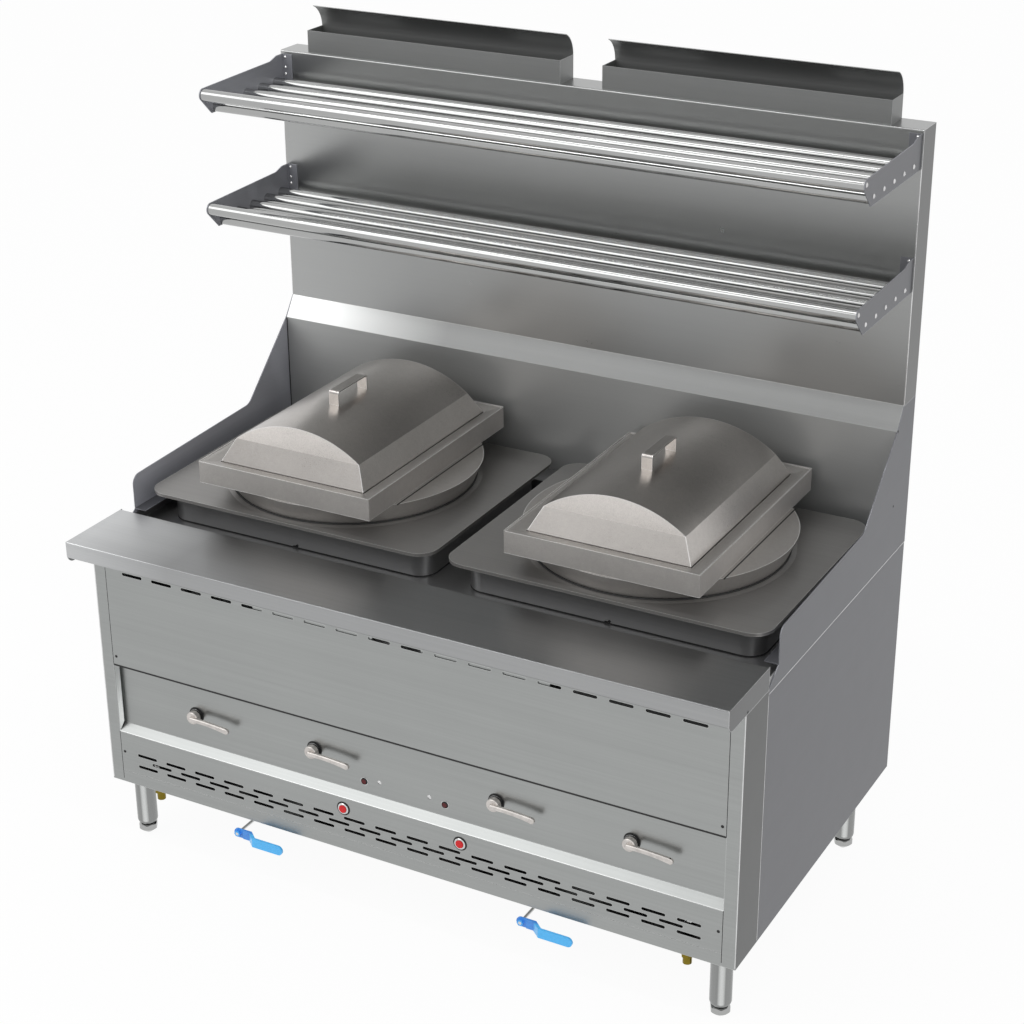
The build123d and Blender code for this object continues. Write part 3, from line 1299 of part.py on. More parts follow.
# The button bezels with their switch bodies behind the panel.
with BuildPart() as button_bezels:
    for sign in (-1, 1):
        spot = [(sign * BUTTON_X, up(BUTTON_Z))]
        with BuildSketch(facing(0)):
            with Locations(*spot):
                Circle(BEZEL_RADIUS)
        extrude(amount=BEZEL_PROUD)
        with BuildSketch(facing(0)):
            with Locations(*spot):
                Circle(SWITCH_RADIUS)
        extrude(amount=-SWITCH_LENGTH)
        cap_depth = BEZEL_PROUD + PANEL_RETURN + BUTTON_TRAVEL
        drill(spot, facing(-BEZEL_PROUD), BUTTON_RADIUS + TURN_GAP, cap_depth)
    outer_rims = button_bezels.faces().group_by(Axis.Y)[0].edges().filter_by(
        lambda edge: edge.radius > BUTTON_RADIUS + 2 * TURN_GAP
    )
    chamfer(outer_rims, length=BEZEL_PROUD / 3)
    for sign in (-1, 1):
        spot = [(sign * BUTTON_X, up(BUTTON_Z))]
        seat = PANEL_RETURN + BUTTON_TRAVEL
        drill(spot, facing(seat), BUTTON_RADIUS / 2 + TURN_GAP, PANEL_RETURN / 2)
save(button_bezels, "button_bezels")

# The indicator lamps in the control panel.
with BuildPart() as indicator_lamps:
    for sign in (-1, 1):
        with BuildSketch(facing(PANEL_RECESS)):
            with Locations((sign * LAMP_X, up(LAMP_Z))):
                Circle(LAMP_RADIUS)
        extrude(amount=LAMP_PROUD)
    fillet(indicator_lamps.faces().group_by(Axis.Y)[0].edges(), radius=LAMP_PROUD / 2)
    for sign in (-1, 1):
        with BuildSketch(facing(PANEL_RECESS)):
            with Locations((sign * LAMP_X, up(LAMP_Z))):
                Circle(LAMP_BODY_RADIUS)
        extrude(amount=-PANEL_RETURN)
save(indicator_lamps, "indicator_lamps")


def pipe(points):
    """A pipe along a route with round elbows."""
    first = Vector(*points[0])
    heading = Vector(*points[1]) - first
    with BuildLine() as route:
        FilletPolyline(*points, radius=PIPE_BEND)
    with BuildSketch(Plane(origin=first, z_dir=heading)) as ring:
        Circle(PIPE_RADIUS)
        Circle(PIPE_BORE, mode=Mode.SUBTRACT)
    sweep(ring.sketch, path=route.wires()[0])


# The drain pipes: from each pan to its ball valve, and from the gutter to each hose coupling.
with BuildPart() as drain_pipes:
    for side, centre in STATIONS.items():
        pipe(
            [
                (centre, back(PAN_DRAIN_Y), up(PAN_BOTTOM)),
                (centre, back(PAN_DRAIN_Y), up(SKIRT_HEIGHT + 2 * PIPE_BEND)),
                (DRAIN_X[side], back(DRAIN_VALVE_Y), up(SKIRT_HEIGHT + 2 * PIPE_BEND)),
                (DRAIN_X[side], back(DRAIN_VALVE_Y), up(DRAIN_TOP)),
            ]
        )
    for x in GUTTER_DRAINS:
        pipe(
            [
                (x, back(GUTTER_DRAIN_Y), up(GUTTER_FLOOR - SHEET / 2)),
                (x, back(GUTTER_DRAIN_Y), up(STRIP_LOW)),
                (x, back(COUPLING_Y), up(SKIRT_HEIGHT + PIPE_BEND)),
                (x, back(COUPLING_Y), up(0)),
            ]
        )
save(drain_pipes, "drain_pipes")

# The ball valve bodies, upright, with a boss towards the front for the stem.
with BuildPart() as drain_valves:
    for x in DRAIN_X.values():
        centre_point = (x, back(DRAIN_VALVE_Y), up(DRAIN_Z))
        with BuildSketch(level(DRAIN_Z - DRAIN_BODY_HEIGHT / 2)):
            with Locations((x, back(DRAIN_VALVE_Y))):
                Circle(DRAIN_BODY_RADIUS)
        extrude(amount=DRAIN_BODY_HEIGHT)
        with BuildSketch(facing(DRAIN_VALVE_Y)):
            with Locations((x, up(DRAIN_Z))):
                Circle(DRAIN_BOSS_RADIUS)
        extrude(amount=DRAIN_BOSS_REACH)
        with Locations(centre_point):
            Sphere(BALL_RADIUS + BALL_PLAY, mode=Mode.SUBTRACT)
        drill([(x, back(DRAIN_VALVE_Y))], level(DRAIN_TOP), BALL_BORE, DRAIN_BODY_HEIGHT)
        socket_top = DRAIN_Z - DRAIN_BODY_HEIGHT / 2 + SOCKET_DEPTH
        drill([(x, back(DRAIN_VALVE_Y))], level(socket_top), SOCKET_RADIUS, SOCKET_DEPTH)
        drill(
            [(x, up(DRAIN_Z))],
            facing(DRAIN_VALVE_Y - DRAIN_BOSS_REACH),
            STEM_RADIUS + STEM_PLAY,
            DRAIN_BOSS_REACH,
        )
save(drain_valves, "drain_valves")


def drain_stem(x):
    """A ball with its bore shut, and the long stem that carries the handle."""
    with BuildPart() as stem:
        with Locations((x, back(DRAIN_VALVE_Y), up(DRAIN_Z))):
            Sphere(BALL_RADIUS)
        drill(
            [(back(DRAIN_VALVE_Y), up(DRAIN_Z))],
            Plane.YZ.offset(x + BALL_RADIUS),
            BALL_BORE,
            2 * BALL_RADIUS,
        )
        with BuildSketch(facing(DRAIN_VALVE_Y - BALL_BORE - SHEET)):
            with Locations((x, up(DRAIN_Z))):
                Circle(STEM_RADIUS)
        extrude(amount=DRAIN_VALVE_Y - BALL_BORE - SHEET - HANDLE_PLATE_Y + HUB_PLATE + NUT_HEIGHT)
    return stem


def drain_handle(x):
    """A cranked handle in a thick sleeve, with its nut, cut from a plan and a front outline."""
    z = up(DRAIN_Z)
    plate = back(HANDLE_PLATE_Y)
    blade = plate - HANDLE_CRANK_DEPTH
    crank_end = HANDLE_CRANK_X + HANDLE_CRANK_DEPTH
    with BuildPart() as handle:
        with BuildSketch(Plane.XY.offset(z - BLADE_HEIGHT / 2)):
            with BuildLine():
                Polyline(
                    (x - BLADE_HEIGHT, plate),
                    (x + HANDLE_CRANK_X, plate),
                    (x + crank_end, blade + SLEEVE / 2),
                    (x + HANDLE_REACH, blade + SLEEVE / 2),
                    (x + HANDLE_REACH, blade - SLEEVE / 2),
                    (x + crank_end - SLEEVE, blade - SLEEVE / 2),
                    (x + HANDLE_CRANK_X - SLEEVE, plate - SLEEVE),
                    (x + BLADE_HEIGHT / 2 + SHEET, plate - SLEEVE),
                    (x + BLADE_HEIGHT / 2, plate - HUB_PLATE),
                    (x - BLADE_HEIGHT, plate - HUB_PLATE),
                    close=True,
                )
            make_face()
        extrude(amount=BLADE_HEIGHT)
        with BuildSketch(Plane.XZ.offset(-plate)):
            with Locations((x, z)):
                Circle(BLADE_HEIGHT / 2)
            patch(x, x + HANDLE_REACH - BLADE_HEIGHT / 2, z - BLADE_HEIGHT / 2, z + BLADE_HEIGHT / 2)
            with Locations((x + HANDLE_REACH - BLADE_HEIGHT / 2, z)):
                Circle(BLADE_HEIGHT / 2)
        extrude(amount=HANDLE_CRANK_DEPTH + SLEEVE, mode=Mode.INTERSECT)
        with BuildSketch(Plane.XZ.offset(-plate + HUB_PLATE)):
            with Locations((x, z)):
                RegularPolygon(NUT_FLATS / 2, 6, major_radius=False)
        extrude(amount=NUT_HEIGHT)
        drill([(x, z)], Plane.XZ.offset(-plate + HUB_PLATE + NUT_HEIGHT), STEM_RADIUS, BLADE_HEIGHT)
    return handle


for side, x in DRAIN_X.items():
    save(drain_stem(x), f"drain_stem_{side}")
    save(drain_handle(x), f"drain_handle_{side}")

# The hose couplings on the gutter drains, just under the skirt: a collar, a hexagon and a hose end.
with BuildPart() as hose_couplings:
    for x in GUTTER_DRAINS:
        spot = (x, back(COUPLING_Y))
        with BuildSketch(level(-COUPLING_DROP)):
            with Locations(spot):
                Circle(COUPLING_RADIUS)
        extrude(amount=COUPLING_DROP)
        with BuildSketch(level(-COUPLING_COLLAR - COUPLING_NUT)):
            with Locations(spot):
                RegularPolygon(COUPLING_FLATS / 2, 6, major_radius=False)
        extrude(amount=COUPLING_NUT)
        with BuildSketch(level(-COUPLING_COLLAR)):
            with Locations(spot):
                Circle(PIPE_RADIUS)
        extrude(amount=COUPLING_COLLAR)
        drill([spot], level(0), COUPLING_BORE, COUPLING_DROP)
save(hose_couplings, "hose_couplings")

# The panel screws: a round head on the sheet and a shank through it.
with BuildPart() as screws:
    heads = [(side * SCREW_X, up(z)) for side in (-1, 1) for z in (UPPER_SCREW_Z, LOWER_SCREW_Z)]
    with BuildSketch(facing(0)):
        with Locations(*heads):
            Circle(SCREW_HEAD_RADIUS)
    extrude(amount=SCREW_HEAD)
    with BuildSketch(facing(0)):
        with Locations(*heads):
            Circle(SCREW_RADIUS)
    extrude(amount=-3 * SHEET)
save(screws, "screws")
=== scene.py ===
import json
import math

import bmesh
import bpy
from mathutils import Matrix, Vector


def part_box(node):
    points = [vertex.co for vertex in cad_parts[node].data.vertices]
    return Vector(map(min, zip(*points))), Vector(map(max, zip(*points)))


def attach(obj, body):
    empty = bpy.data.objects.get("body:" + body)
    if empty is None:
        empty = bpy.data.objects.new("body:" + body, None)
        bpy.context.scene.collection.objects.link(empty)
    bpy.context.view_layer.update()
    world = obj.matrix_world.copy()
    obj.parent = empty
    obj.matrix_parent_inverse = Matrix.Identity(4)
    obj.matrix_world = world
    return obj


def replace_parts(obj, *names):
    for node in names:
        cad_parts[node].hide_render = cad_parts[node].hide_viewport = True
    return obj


# The looks of a two-station steam range: brushed stainless sheet round warm, fine-grained steam units.
# Blender works in metres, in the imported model's frame: X to the right, Y to the back, Z up.
# Sizes of small pieces and places on the range are written in millimetres.

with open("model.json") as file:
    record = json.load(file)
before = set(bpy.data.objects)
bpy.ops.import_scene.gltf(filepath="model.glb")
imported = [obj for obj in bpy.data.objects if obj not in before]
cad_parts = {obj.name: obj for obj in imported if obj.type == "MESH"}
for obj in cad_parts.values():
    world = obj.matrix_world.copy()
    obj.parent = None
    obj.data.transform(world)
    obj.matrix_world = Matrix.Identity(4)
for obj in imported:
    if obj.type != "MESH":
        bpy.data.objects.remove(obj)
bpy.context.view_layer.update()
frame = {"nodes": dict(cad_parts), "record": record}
NODES = frame["nodes"]
MM = 0.001

UPWARD = (0, 0, 1)
FRONTWARD = (0, -1, 0)
BACKWARD = (0, 1, 0)
RIGHTWARD = (1, 0, 0)
LEFTWARD = (-1, 0, 0)

# The camera, solved from the photograph: metres, degrees, and millimetres for the lens
CAMERA_PLACE = (2.0824, -3.6956, 2.7731)
CAMERA_YAW = 28.765
CAMERA_PITCH = -24.755
CAMERA_ROLL = -0.372
CAMERA_LENS = 77.2
SENSOR = 36.0
CAMERA_REACH = 50.0

# Lamps: place, width and depth in metres, power in watts
LAMPS = {
    "key_light": ((-2.9, -2.75, 4.15), (4.8, 2.2), 58),
    "fill_light": ((4.2, -2.6, 2.6), (2.4, 2.4), 18),
    "strip_light": ((0, -1.2, 5.0), (6.0, 0.25), 47),
}
LAMP_TARGET = (0, 0, 0.8)

# Levels of the world and of the floor: 1 is white
WHITE = (1.0, 1.0, 1.0)
BACKDROP_LEVEL = 1.0
AMBIENT_LEVEL = 0.75
FLOOR_COLOUR = (0.86, 0.86, 0.86)
FLOOR_ROUGHNESS = 0.9
FLOOR_GLOW = 0.95
FLOOR_REACH = 14.0

# Sockets of a Mix node that blends colours
MIX_SHARE = 0
MIX_ONE = 6
MIX_OTHER = 7
MIX_COLOUR = 2


class Value:
    """A shader socket in an expression: each operation on it adds a Math node."""

    def __init__(self, tree, socket):
        self.tree = tree
        self.socket = socket

    def __add__(self, other):
        return self.tree.math("ADD", self, other)

    def __radd__(self, other):
        return self.tree.math("ADD", other, self)

    def __sub__(self, other):
        return self.tree.math("SUBTRACT", self, other)

    def __rsub__(self, other):
        return self.tree.math("SUBTRACT", other, self)

    def __mul__(self, other):
        return self.tree.math("MULTIPLY", self, other)

    def __rmul__(self, other):
        return self.tree.math("MULTIPLY", other, self)

    def clamp(self):
        """The value held between 0 and 1."""
        return self.tree.math("ADD", self, 0.0, use_clamp=True)


class NodeTree:
    """The nodes of a material or of the world, and the one way that nodes are added to them."""

    def __init__(self, tree):
        self.tree = tree

    def feed(self, socket, value):
        """Links a value to a socket, or sets a number, a vector or a colour on it."""
        if isinstance(value, Value):
            self.tree.links.new(value.socket, socket)
        elif socket.type == "RGBA":
            socket.default_value = (*value, 1.0)
        else:
            socket.default_value = value

    def node(self, kind, settings, values, output=0):
        """Makes a node: its settings first, then the values or links of its sockets."""
        made = self.tree.nodes.new(kind)
        for key, setting in settings.items():
            setattr(made, key, setting)
        for key, value in values.items():
            self.feed(made.inputs[key], value)
        return Value(self, made.outputs[output])

    def math(self, operation, one, other, **settings):
        return self.node("ShaderNodeMath", {"operation": operation, **settings}, {0: one, 1: other})

    def seen(self):
        """1 for rays from the camera, off gloss or through glass, 0 for the light that falls on things."""
        rays = ("Is Camera Ray", "Is Glossy Ray", "Is Transmission Ray")
        camera, glossy, transmitted = (self.node("ShaderNodeLightPath", {}, {}, ray) for ray in rays)
        return (camera + glossy + transmitted).clamp()


class Paint(NodeTree):
    """A new material, with its Principled shader ready to be fed."""

    # How far an edge's rounded normal turns from its face's own
    EDGE_RANGE = (0.02, 0.2)
    EDGE_SAMPLES = 6
    # How closely a face looks along a direction, as a cosine
    FACING_RANGE = (0.93, 0.99)

    def __init__(self, name):
        self.material = bpy.data.materials.new(name)
        self.material.use_nodes = True
        super().__init__(self.material.node_tree)
        self.shader = self.tree.nodes["Principled BSDF"]

    def give(self, **values):
        """Feeds the shader's sockets, whose words are joined with underscores here."""
        for key, value in values.items():
            self.feed(self.shader.inputs[key.replace("_", " ").title()], value)

    def place(self):
        """The place on the piece itself, in metres."""
        return self.node("ShaderNodeTexCoord", {}, {}, "Object")

    def along(self, place, axis):
        """The place's X, Y or Z alone, in metres."""
        return self.node("ShaderNodeSeparateXYZ", {}, {"Vector": place}, axis)

    def noise(self, place, scale, detail, roughness):
        values = {"Vector": place, "Scale": scale, "Detail": detail, "Roughness": roughness}
        return self.node("ShaderNodeTexNoise", {}, values, "Fac")

    def streaks(self, place, scales, detail, roughness):
        """A noise with a scale of its own along X, Y and Z."""
        stretched = self.node("ShaderNodeMapping", {}, {"Vector": place, "Scale": scales})
        return self.noise(stretched, 1.0, detail, roughness)

    def ramp(self, value, low, high):
        """0 below low, 1 over high."""
        values = {"Value": value, "From Min": low, "From Max": high}
        return self.node("ShaderNodeMapRange", {"clamp": True}, values)

    def blend(self, share, one, other):
        """The one colour where the share is 0, the other where it is 1."""
        values = {MIX_SHARE: share, MIX_ONE: one, MIX_OTHER: other}
        return self.node("ShaderNodeMix", {"data_type": "RGBA"}, values, MIX_COLOUR)

    def bump(self, height, depth, strength):
        return self.node("ShaderNodeBump", {}, {"Height": height, "Distance": depth, "Strength": strength})

    def agreement(self, direction):
        """The cosine of the angle between a direction and the way that the face looks."""
        flat = self.node("ShaderNodeNewGeometry", {}, {}, "Normal")
        settings = {"operation": "DOT_PRODUCT"}
        return self.node("ShaderNodeVectorMath", settings, {0: direction, 1: flat}, "Value")

    def edges(self, width):
        """1 on edges that stand out, 0 on flat stretches."""
        rounded = self.node("ShaderNodeBevel", {"samples": self.EDGE_SAMPLES}, {"Radius": width})
        return self.ramp(1 - self.agreement(rounded), *self.EDGE_RANGE)

    def facing(self, direction):
        """1 on faces that look along a direction, 0 on the others."""
        return self.ramp(self.agreement(direction), *self.FACING_RANGE)


# Noises: scale, detail and roughness
SHEET_CLOUDS = (5.0, 4.0, 0.55)
SHEET_SMUDGES = (17.0, 5.0, 0.6)
UNIT_SPECKLE = (620.0, 2.0, 0.7)
UNIT_GRAIN = (90.0, 4.0, 0.65)
UNIT_CLOUDS = (7.0, 4.0, 0.55)
CAST_PITS = (900.0, 4.0, 0.7)
CAST_CLOUDS = (60.0, 4.0, 0.6)
POLISH_HAIRLINES = (400.0, 3.0, 0.6)
POLISH_CLOUDS = (30.0, 3.0, 0.5)
MOULDED_PEEL = (700.0, 2.0, 0.5)
MOULDED_CLOUDS = (45.0, 4.0, 0.6)
NOISE_MIDDLE = 0.5

# The levels of its noises between which a finish goes from its darker to its lighter shade
SHEET_TONE = (0.32, 0.68)
UNIT_TONE = (0.36, 0.66)
CAST_TONE = (0.35, 0.65)
CLOUD_TONE = (0.3, 0.7)

# Brushed streaks: fine ones by their scales along X, Y and Z, broad ones by a share of these scales,
# and the detail and roughness of both
GRAINS = {
    "along_x": (2.0, 260.0, 260.0),
    "along_y": (260.0, 2.0, 260.0),
    "along_z": (260.0, 260.0, 2.0),
}
FINE_STREAKS = (1.0, 0.5)
BROAD_STREAKS = (2.0, 0.5)
BROAD_DIVISOR = 9
BROAD_LEAST = 0.8

# Painted highlights on edges: how wide they are, how much they show and how much brighter they are
SHEET_EDGE = 2.2 * MM
UNIT_EDGE = 3.0 * MM
UNIT_EDGE_HIGHLIGHT = 0.8
EDGE_SHINE = 3.0
CAST_EDGE = 1.5 * MM
CAST_EDGE_HIGHLIGHT = 0.5
CAST_SHINE = 1.6

UNIT_CONTRAST = 0.15
HUB_BLEND = 4.0 * MM


def shade(colour, factor):
    return tuple(min(1.0, channel * factor) for channel in colour)


def mottled(paint, share, colour, dark, light):
    """A colour that wavers between a darker and a lighter shade of itself."""
    return paint.blend(share, shade(colour, dark), shade(colour, light))


def toned(paint, tone, colour, contrast, faces=()):
    """A colour that follows a grain's tone, with painted light and shade: a factor on faces that look certain
    ways.
    """
    surface = mottled(paint, tone, colour, 1 - contrast, 1 + contrast)
    # Painted light and shade: lighter or darker copies of the colour by the way a face looks
    for direction, factor in faces:
        tinted = mottled(paint, tone, shade(colour, factor), 1 - contrast, 1 + contrast)
        surface = paint.blend(paint.facing(direction), surface, tinted)
    return surface


def uneven(roughness, *swings):
    """A roughness that wavers with noises, each by an amount of its own."""
    for noise, amount in swings:
        roughness = roughness + (noise - NOISE_MIDDLE) * amount
    return roughness.clamp()


def sheet_metal(
    name,
    colour,
    roughness,
    grain="along_x",
    streak=0.05,
    edge=0.4,
    metallic=1.0,
    faces=(),
    fade=None,
    painted_glint=None,
    relief=True,
):
    """Brushed stainless sheet: faint streaks along the grain, soft clouds, a painted highlight on the edges.

    Faces that look along a given direction can have a factor on their colour, which is painted light
    or shade. A painted left light is such a factor for the left, which gives way between two places in
    X, in metres. A painted glint is a painted highlight that gives way in the same manner, on the faces
    that look along one direction.
    """
    paint = Paint(name)
    place = paint.place()
    scales = GRAINS[grain]
    broad_scales = tuple(max(scale / BROAD_DIVISOR, BROAD_LEAST) for scale in scales)
    fine = paint.streaks(place, scales, *FINE_STREAKS)
    broad = paint.streaks(place, broad_scales, *BROAD_STREAKS)
    clouds = paint.noise(place, *SHEET_CLOUDS)
    tone = paint.ramp(fine * 0.45 + broad * 0.3 + clouds * 0.25, *SHEET_TONE)
    surface = toned(paint, tone, colour, streak, faces)
    # Painted light: a factor on the colour towards the left end
    if fade:
        start, finish, factor = fade
        share = paint.ramp(paint.along(place, "X"), start, finish)
        surface = paint.blend(share, toned(paint, tone, shade(colour, factor), streak), surface)
    # Painted highlight on the faces that look one way, giving way towards the right
    if painted_glint:
        direction, start, finish, factor = painted_glint
        share = paint.facing(direction) * (1 - paint.ramp(paint.along(place, "X"), start, finish))
        surface = paint.blend(share, surface, shade(colour, factor))
    # Painted highlight on the edges
    if edge:
        surface = paint.blend(paint.edges(SHEET_EDGE) * edge, surface, shade(colour, EDGE_SHINE))
    spread = uneven(roughness, (paint.noise(place, *SHEET_SMUDGES), 0.03))
    paint.give(base_color=surface, metallic=metallic, roughness=spread)
    if relief:
        paint.give(normal=paint.bump(fine * 0.6 + broad * 0.4, depth=0.004 * MM, strength=0.2))
    return paint.material


def side_metal(name, metallic=0.5, **shades):
    """Dark sheet that is brushed from front to back: sides, splash guards and shelf plates."""
    return sheet_metal(name, SIDE, 0.4, "along_y", streak=0.03, edge=0.8, metallic=metallic, **shades)


def steam_metal(name, colour, roughness, faces, metallic=1.0):
    """Fine-grained stainless of the steam units: speckled, warm and nearly matt."""
    paint = Paint(name)
    place = paint.place()
    speckle = paint.noise(place, *UNIT_SPECKLE)
    grain = paint.noise(place, *UNIT_GRAIN)
    clouds = paint.noise(place, *UNIT_CLOUDS)
    tone = paint.ramp(speckle * 0.55 + grain * 0.2 + clouds * 0.25, *UNIT_TONE)
    # Painted light and shade on faces by the way they look, then a painted highlight on the edges
    surface = toned(paint, tone, colour, UNIT_CONTRAST, faces)
    surface = paint.blend(paint.edges(UNIT_EDGE) * UNIT_EDGE_HIGHLIGHT, surface, shade(colour, EDGE_SHINE))
    spread = uneven(roughness, (speckle, 0.12), (clouds, 0.06))
    paint.give(base_color=surface, metallic=metallic, roughness=spread)
    paint.give(normal=paint.bump(speckle * 0.7 + grain * 0.3, depth=0.12 * MM, strength=0.5))
    return paint.material


def cast_metal(name, colour, roughness, metallic=1.0, pitting=0.3):
    """Cast metal: a pitted skin, with a painted highlight on the edges. The pits' depth is in millimetres."""
    paint = Paint(name)
    place = paint.place()
    pits = paint.noise(place, *CAST_PITS)
    clouds = paint.noise(place, *CAST_CLOUDS)
    tone = paint.ramp(clouds * 0.6 + pits * 0.4, *CAST_TONE)
    surface = mottled(paint, tone, colour, dark=0.8, light=1.2)
    # Painted highlight on the edges
    surface = paint.blend(paint.edges(CAST_EDGE) * CAST_EDGE_HIGHLIGHT, surface, shade(colour, CAST_SHINE))
    paint.give(base_color=surface, metallic=metallic, roughness=uneven(roughness, (pits, 0.25)))
    paint.give(normal=paint.bump(pits, depth=pitting * MM, strength=0.6))
    return paint.material


def polished_metal(name, colour, roughness):
    """Turned or drawn bright metal with hairline marks."""
    paint = Paint(name)
    place = paint.place()
    hair = paint.noise(place, *POLISH_HAIRLINES)
    clouds = paint.noise(place, *POLISH_CLOUDS)
    surface = mottled(paint, paint.ramp(clouds, *CLOUD_TONE), colour, dark=0.86, light=1.12)
    spread = uneven(roughness, (hair, 0.12), (clouds, 0.08))
    paint.give(base_color=surface, metallic=1.0, roughness=spread)
    paint.give(normal=paint.bump(hair, depth=0.06 * MM, strength=0.5))
    return paint.material


def moulded(name, colour, roughness):
    """Moulded plastic: a little mottled, duller where it is handled."""
    paint = Paint(name)
    place = paint.place()
    peel = paint.noise(place, *MOULDED_PEEL)
    clouds = paint.noise(place, *MOULDED_CLOUDS)
    surface = mottled(paint, paint.ramp(clouds, *CLOUD_TONE), colour, dark=0.85, light=1.12)
    paint.give(base_color=surface, roughness=uneven(roughness, (clouds, 0.2), (peel, 0.08)))
    paint.give(normal=paint.bump(peel, depth=0.1 * MM, strength=0.35))
    return paint.material


def dipped_handle(name, blade, hub, hub_start):
    """Dipped vinyl on a cranked handle: deeper in colour on the hub, which lies further back."""
    paint = Paint(name)
    place = paint.place()
    peel = paint.noise(place, *MOULDED_PEEL)
    clouds = paint.noise(place, *MOULDED_CLOUDS)
    light = mottled(paint, clouds, blade, dark=0.92, light=1.05)
    deep = mottled(paint, clouds, hub, dark=0.8, light=1.15)
    on_hub = paint.ramp(paint.along(place, "Y"), hub_start, hub_start + HUB_BLEND)
    surface = paint.blend(on_hub, light, deep)
    paint.give(base_color=surface, roughness=uneven(0.32, (clouds, 0.2)), coat_weight=0.2)
    paint.give(normal=paint.bump(peel, depth=0.1 * MM, strength=0.35))
    return paint.material


# Ways that some faces look: the back panel's top strip, a lid's skirts, a leg's painted highlight
BACK_STRIP = (0, -0.826, 0.563)
LID_FRONT_SKIRT = (0, -0.93, 0.36)
LID_RIGHT_SKIRT = (0.93, 0, 0.36)
LEG_PAINTED_HIGHLIGHT = (0.42, -0.9, 0.11)

# Colours of the stainless pieces, toned to the photograph under these lamps
STEEL = (0.345, 0.355, 0.35)
SIDE = (0.12, 0.122, 0.133)
LEDGE = (0.235, 0.238, 0.24)
GUTTER = (0.27, 0.27, 0.272)
DECK = (0.24, 0.234, 0.227)
BACK = (0.372, 0.377, 0.374)
SPLASH = (0.32, 0.324, 0.322)
RISER = (0.215, 0.219, 0.217)
TUBE = (0.4, 0.404, 0.4)
LEG = (0.27, 0.275, 0.272)
UNIT = (0.36, 0.345, 0.33)
LID = (0.44, 0.418, 0.398)

# Colours of the fittings
NICKEL = (0.6, 0.57, 0.545)
BRIGHT = (0.66, 0.66, 0.66)
BLACK = (0.008, 0.008, 0.008)
PIPE_BLACK = (0.015, 0.015, 0.015)
BRASS = (0.2, 0.15, 0.02)
IRON = (0.04, 0.038, 0.036)
CERAMIC = (0.72, 0.69, 0.62)
BUTTON_RED = (0.68, 0.004, 0.008)
LAMP_RED = (0.09, 0.002, 0.003)
BLADE_BLUE = (0.08, 0.5, 1.0)
HUB_BLUE = (0.06, 0.29, 0.8)
HUB_Y = -0.418

FINISHES = {
    "front_sheet": sheet_metal("front_sheet", STEEL, 0.3),
    "side_sheet": side_metal("side_sheet"),
    # The ledge: front faces and its left end painted lighter, right ends painted darker: painted light and
    # shade
    "ledge_sheet": sheet_metal(
        "ledge_sheet",
        LEDGE,
        0.32,
        edge=0.9,
        faces=[(FRONTWARD, 1.5), (RIGHTWARD, 0.48)],
        fade=(-0.74, -0.5, 2.2),
    ),
    "gutter_sheet": sheet_metal("gutter_sheet", GUTTER, 0.3, metallic=0.75, relief=False),
    "deck_sheet": sheet_metal("deck_sheet", DECK, 0.38, edge=0.8, metallic=0.7),
    # Steam boxes: faces that look right painted lighter, as painted light
    "steam_sheet": steam_metal("steam_sheet", UNIT, 0.45, faces=[(RIGHTWARD, 1.5)], metallic=0.75),
    # Lids: front ends and right skirts painted lighter, front skirts painted darker: painted light and shade
    "lid_sheet": steam_metal(
        "lid_sheet",
        LID,
        0.3,
        faces=[(FRONTWARD, 1.6), (LID_FRONT_SKIRT, 0.72), (LID_RIGHT_SKIRT, 1.15)],
    ),
    "riser_sheet": sheet_metal("riser_sheet", RISER, 0.45, metallic=0.75, streak=0.03, relief=False),
    # Back panel: its top strip painted darker, with a painted highlight on the strip towards the left
    "back_sheet": sheet_metal(
        "back_sheet",
        BACK,
        0.4,
        streak=0.02,
        metallic=0.6,
        faces=[(BACK_STRIP, 0.76)],
        painted_glint=(BACK_STRIP, -0.66, -0.33, 2.0),
        relief=False,
    ),
    # Backsplash: faces that look right painted darker, the left end painted lighter: painted light and shade
    "backsplash_sheet": sheet_metal(
        "backsplash_sheet",
        SPLASH,
        0.28,
        streak=0.015,
        faces=[(RIGHTWARD, 0.33)],
        fade=(-0.74, -0.42, 1.2),
        relief=False,
    ),
    "duct_sheet": sheet_metal("duct_sheet", GUTTER, 0.5, edge=0.0),
    "tube_steel": sheet_metal("tube_steel", TUBE, 0.1, edge=0.0, streak=0.0, relief=False),
    "lever_nickel": cast_metal("lever_nickel", NICKEL, 0.46, pitting=0.1),
    "bright_metal": polished_metal("bright_metal", BRIGHT, 0.16),
    "black_collar": moulded("black_collar", BLACK, 0.6),
    "black_pipe": cast_metal("black_pipe", PIPE_BLACK, 0.6, metallic=0.2),
    "brass": polished_metal("brass", BRASS, 0.24),
    "cast_iron": cast_metal("cast_iron", IRON, 0.7, metallic=0.3, pitting=0.8),
    "ceramic": moulded("ceramic", CERAMIC, 0.25),
    "red_button": moulded("red_button", BUTTON_RED, 0.55),
    "lamp_lens": moulded("lamp_lens", LAMP_RED, 0.6),
    "blue_sleeve": dipped_handle("blue_sleeve", BLADE_BLUE, HUB_BLUE, HUB_Y),
}

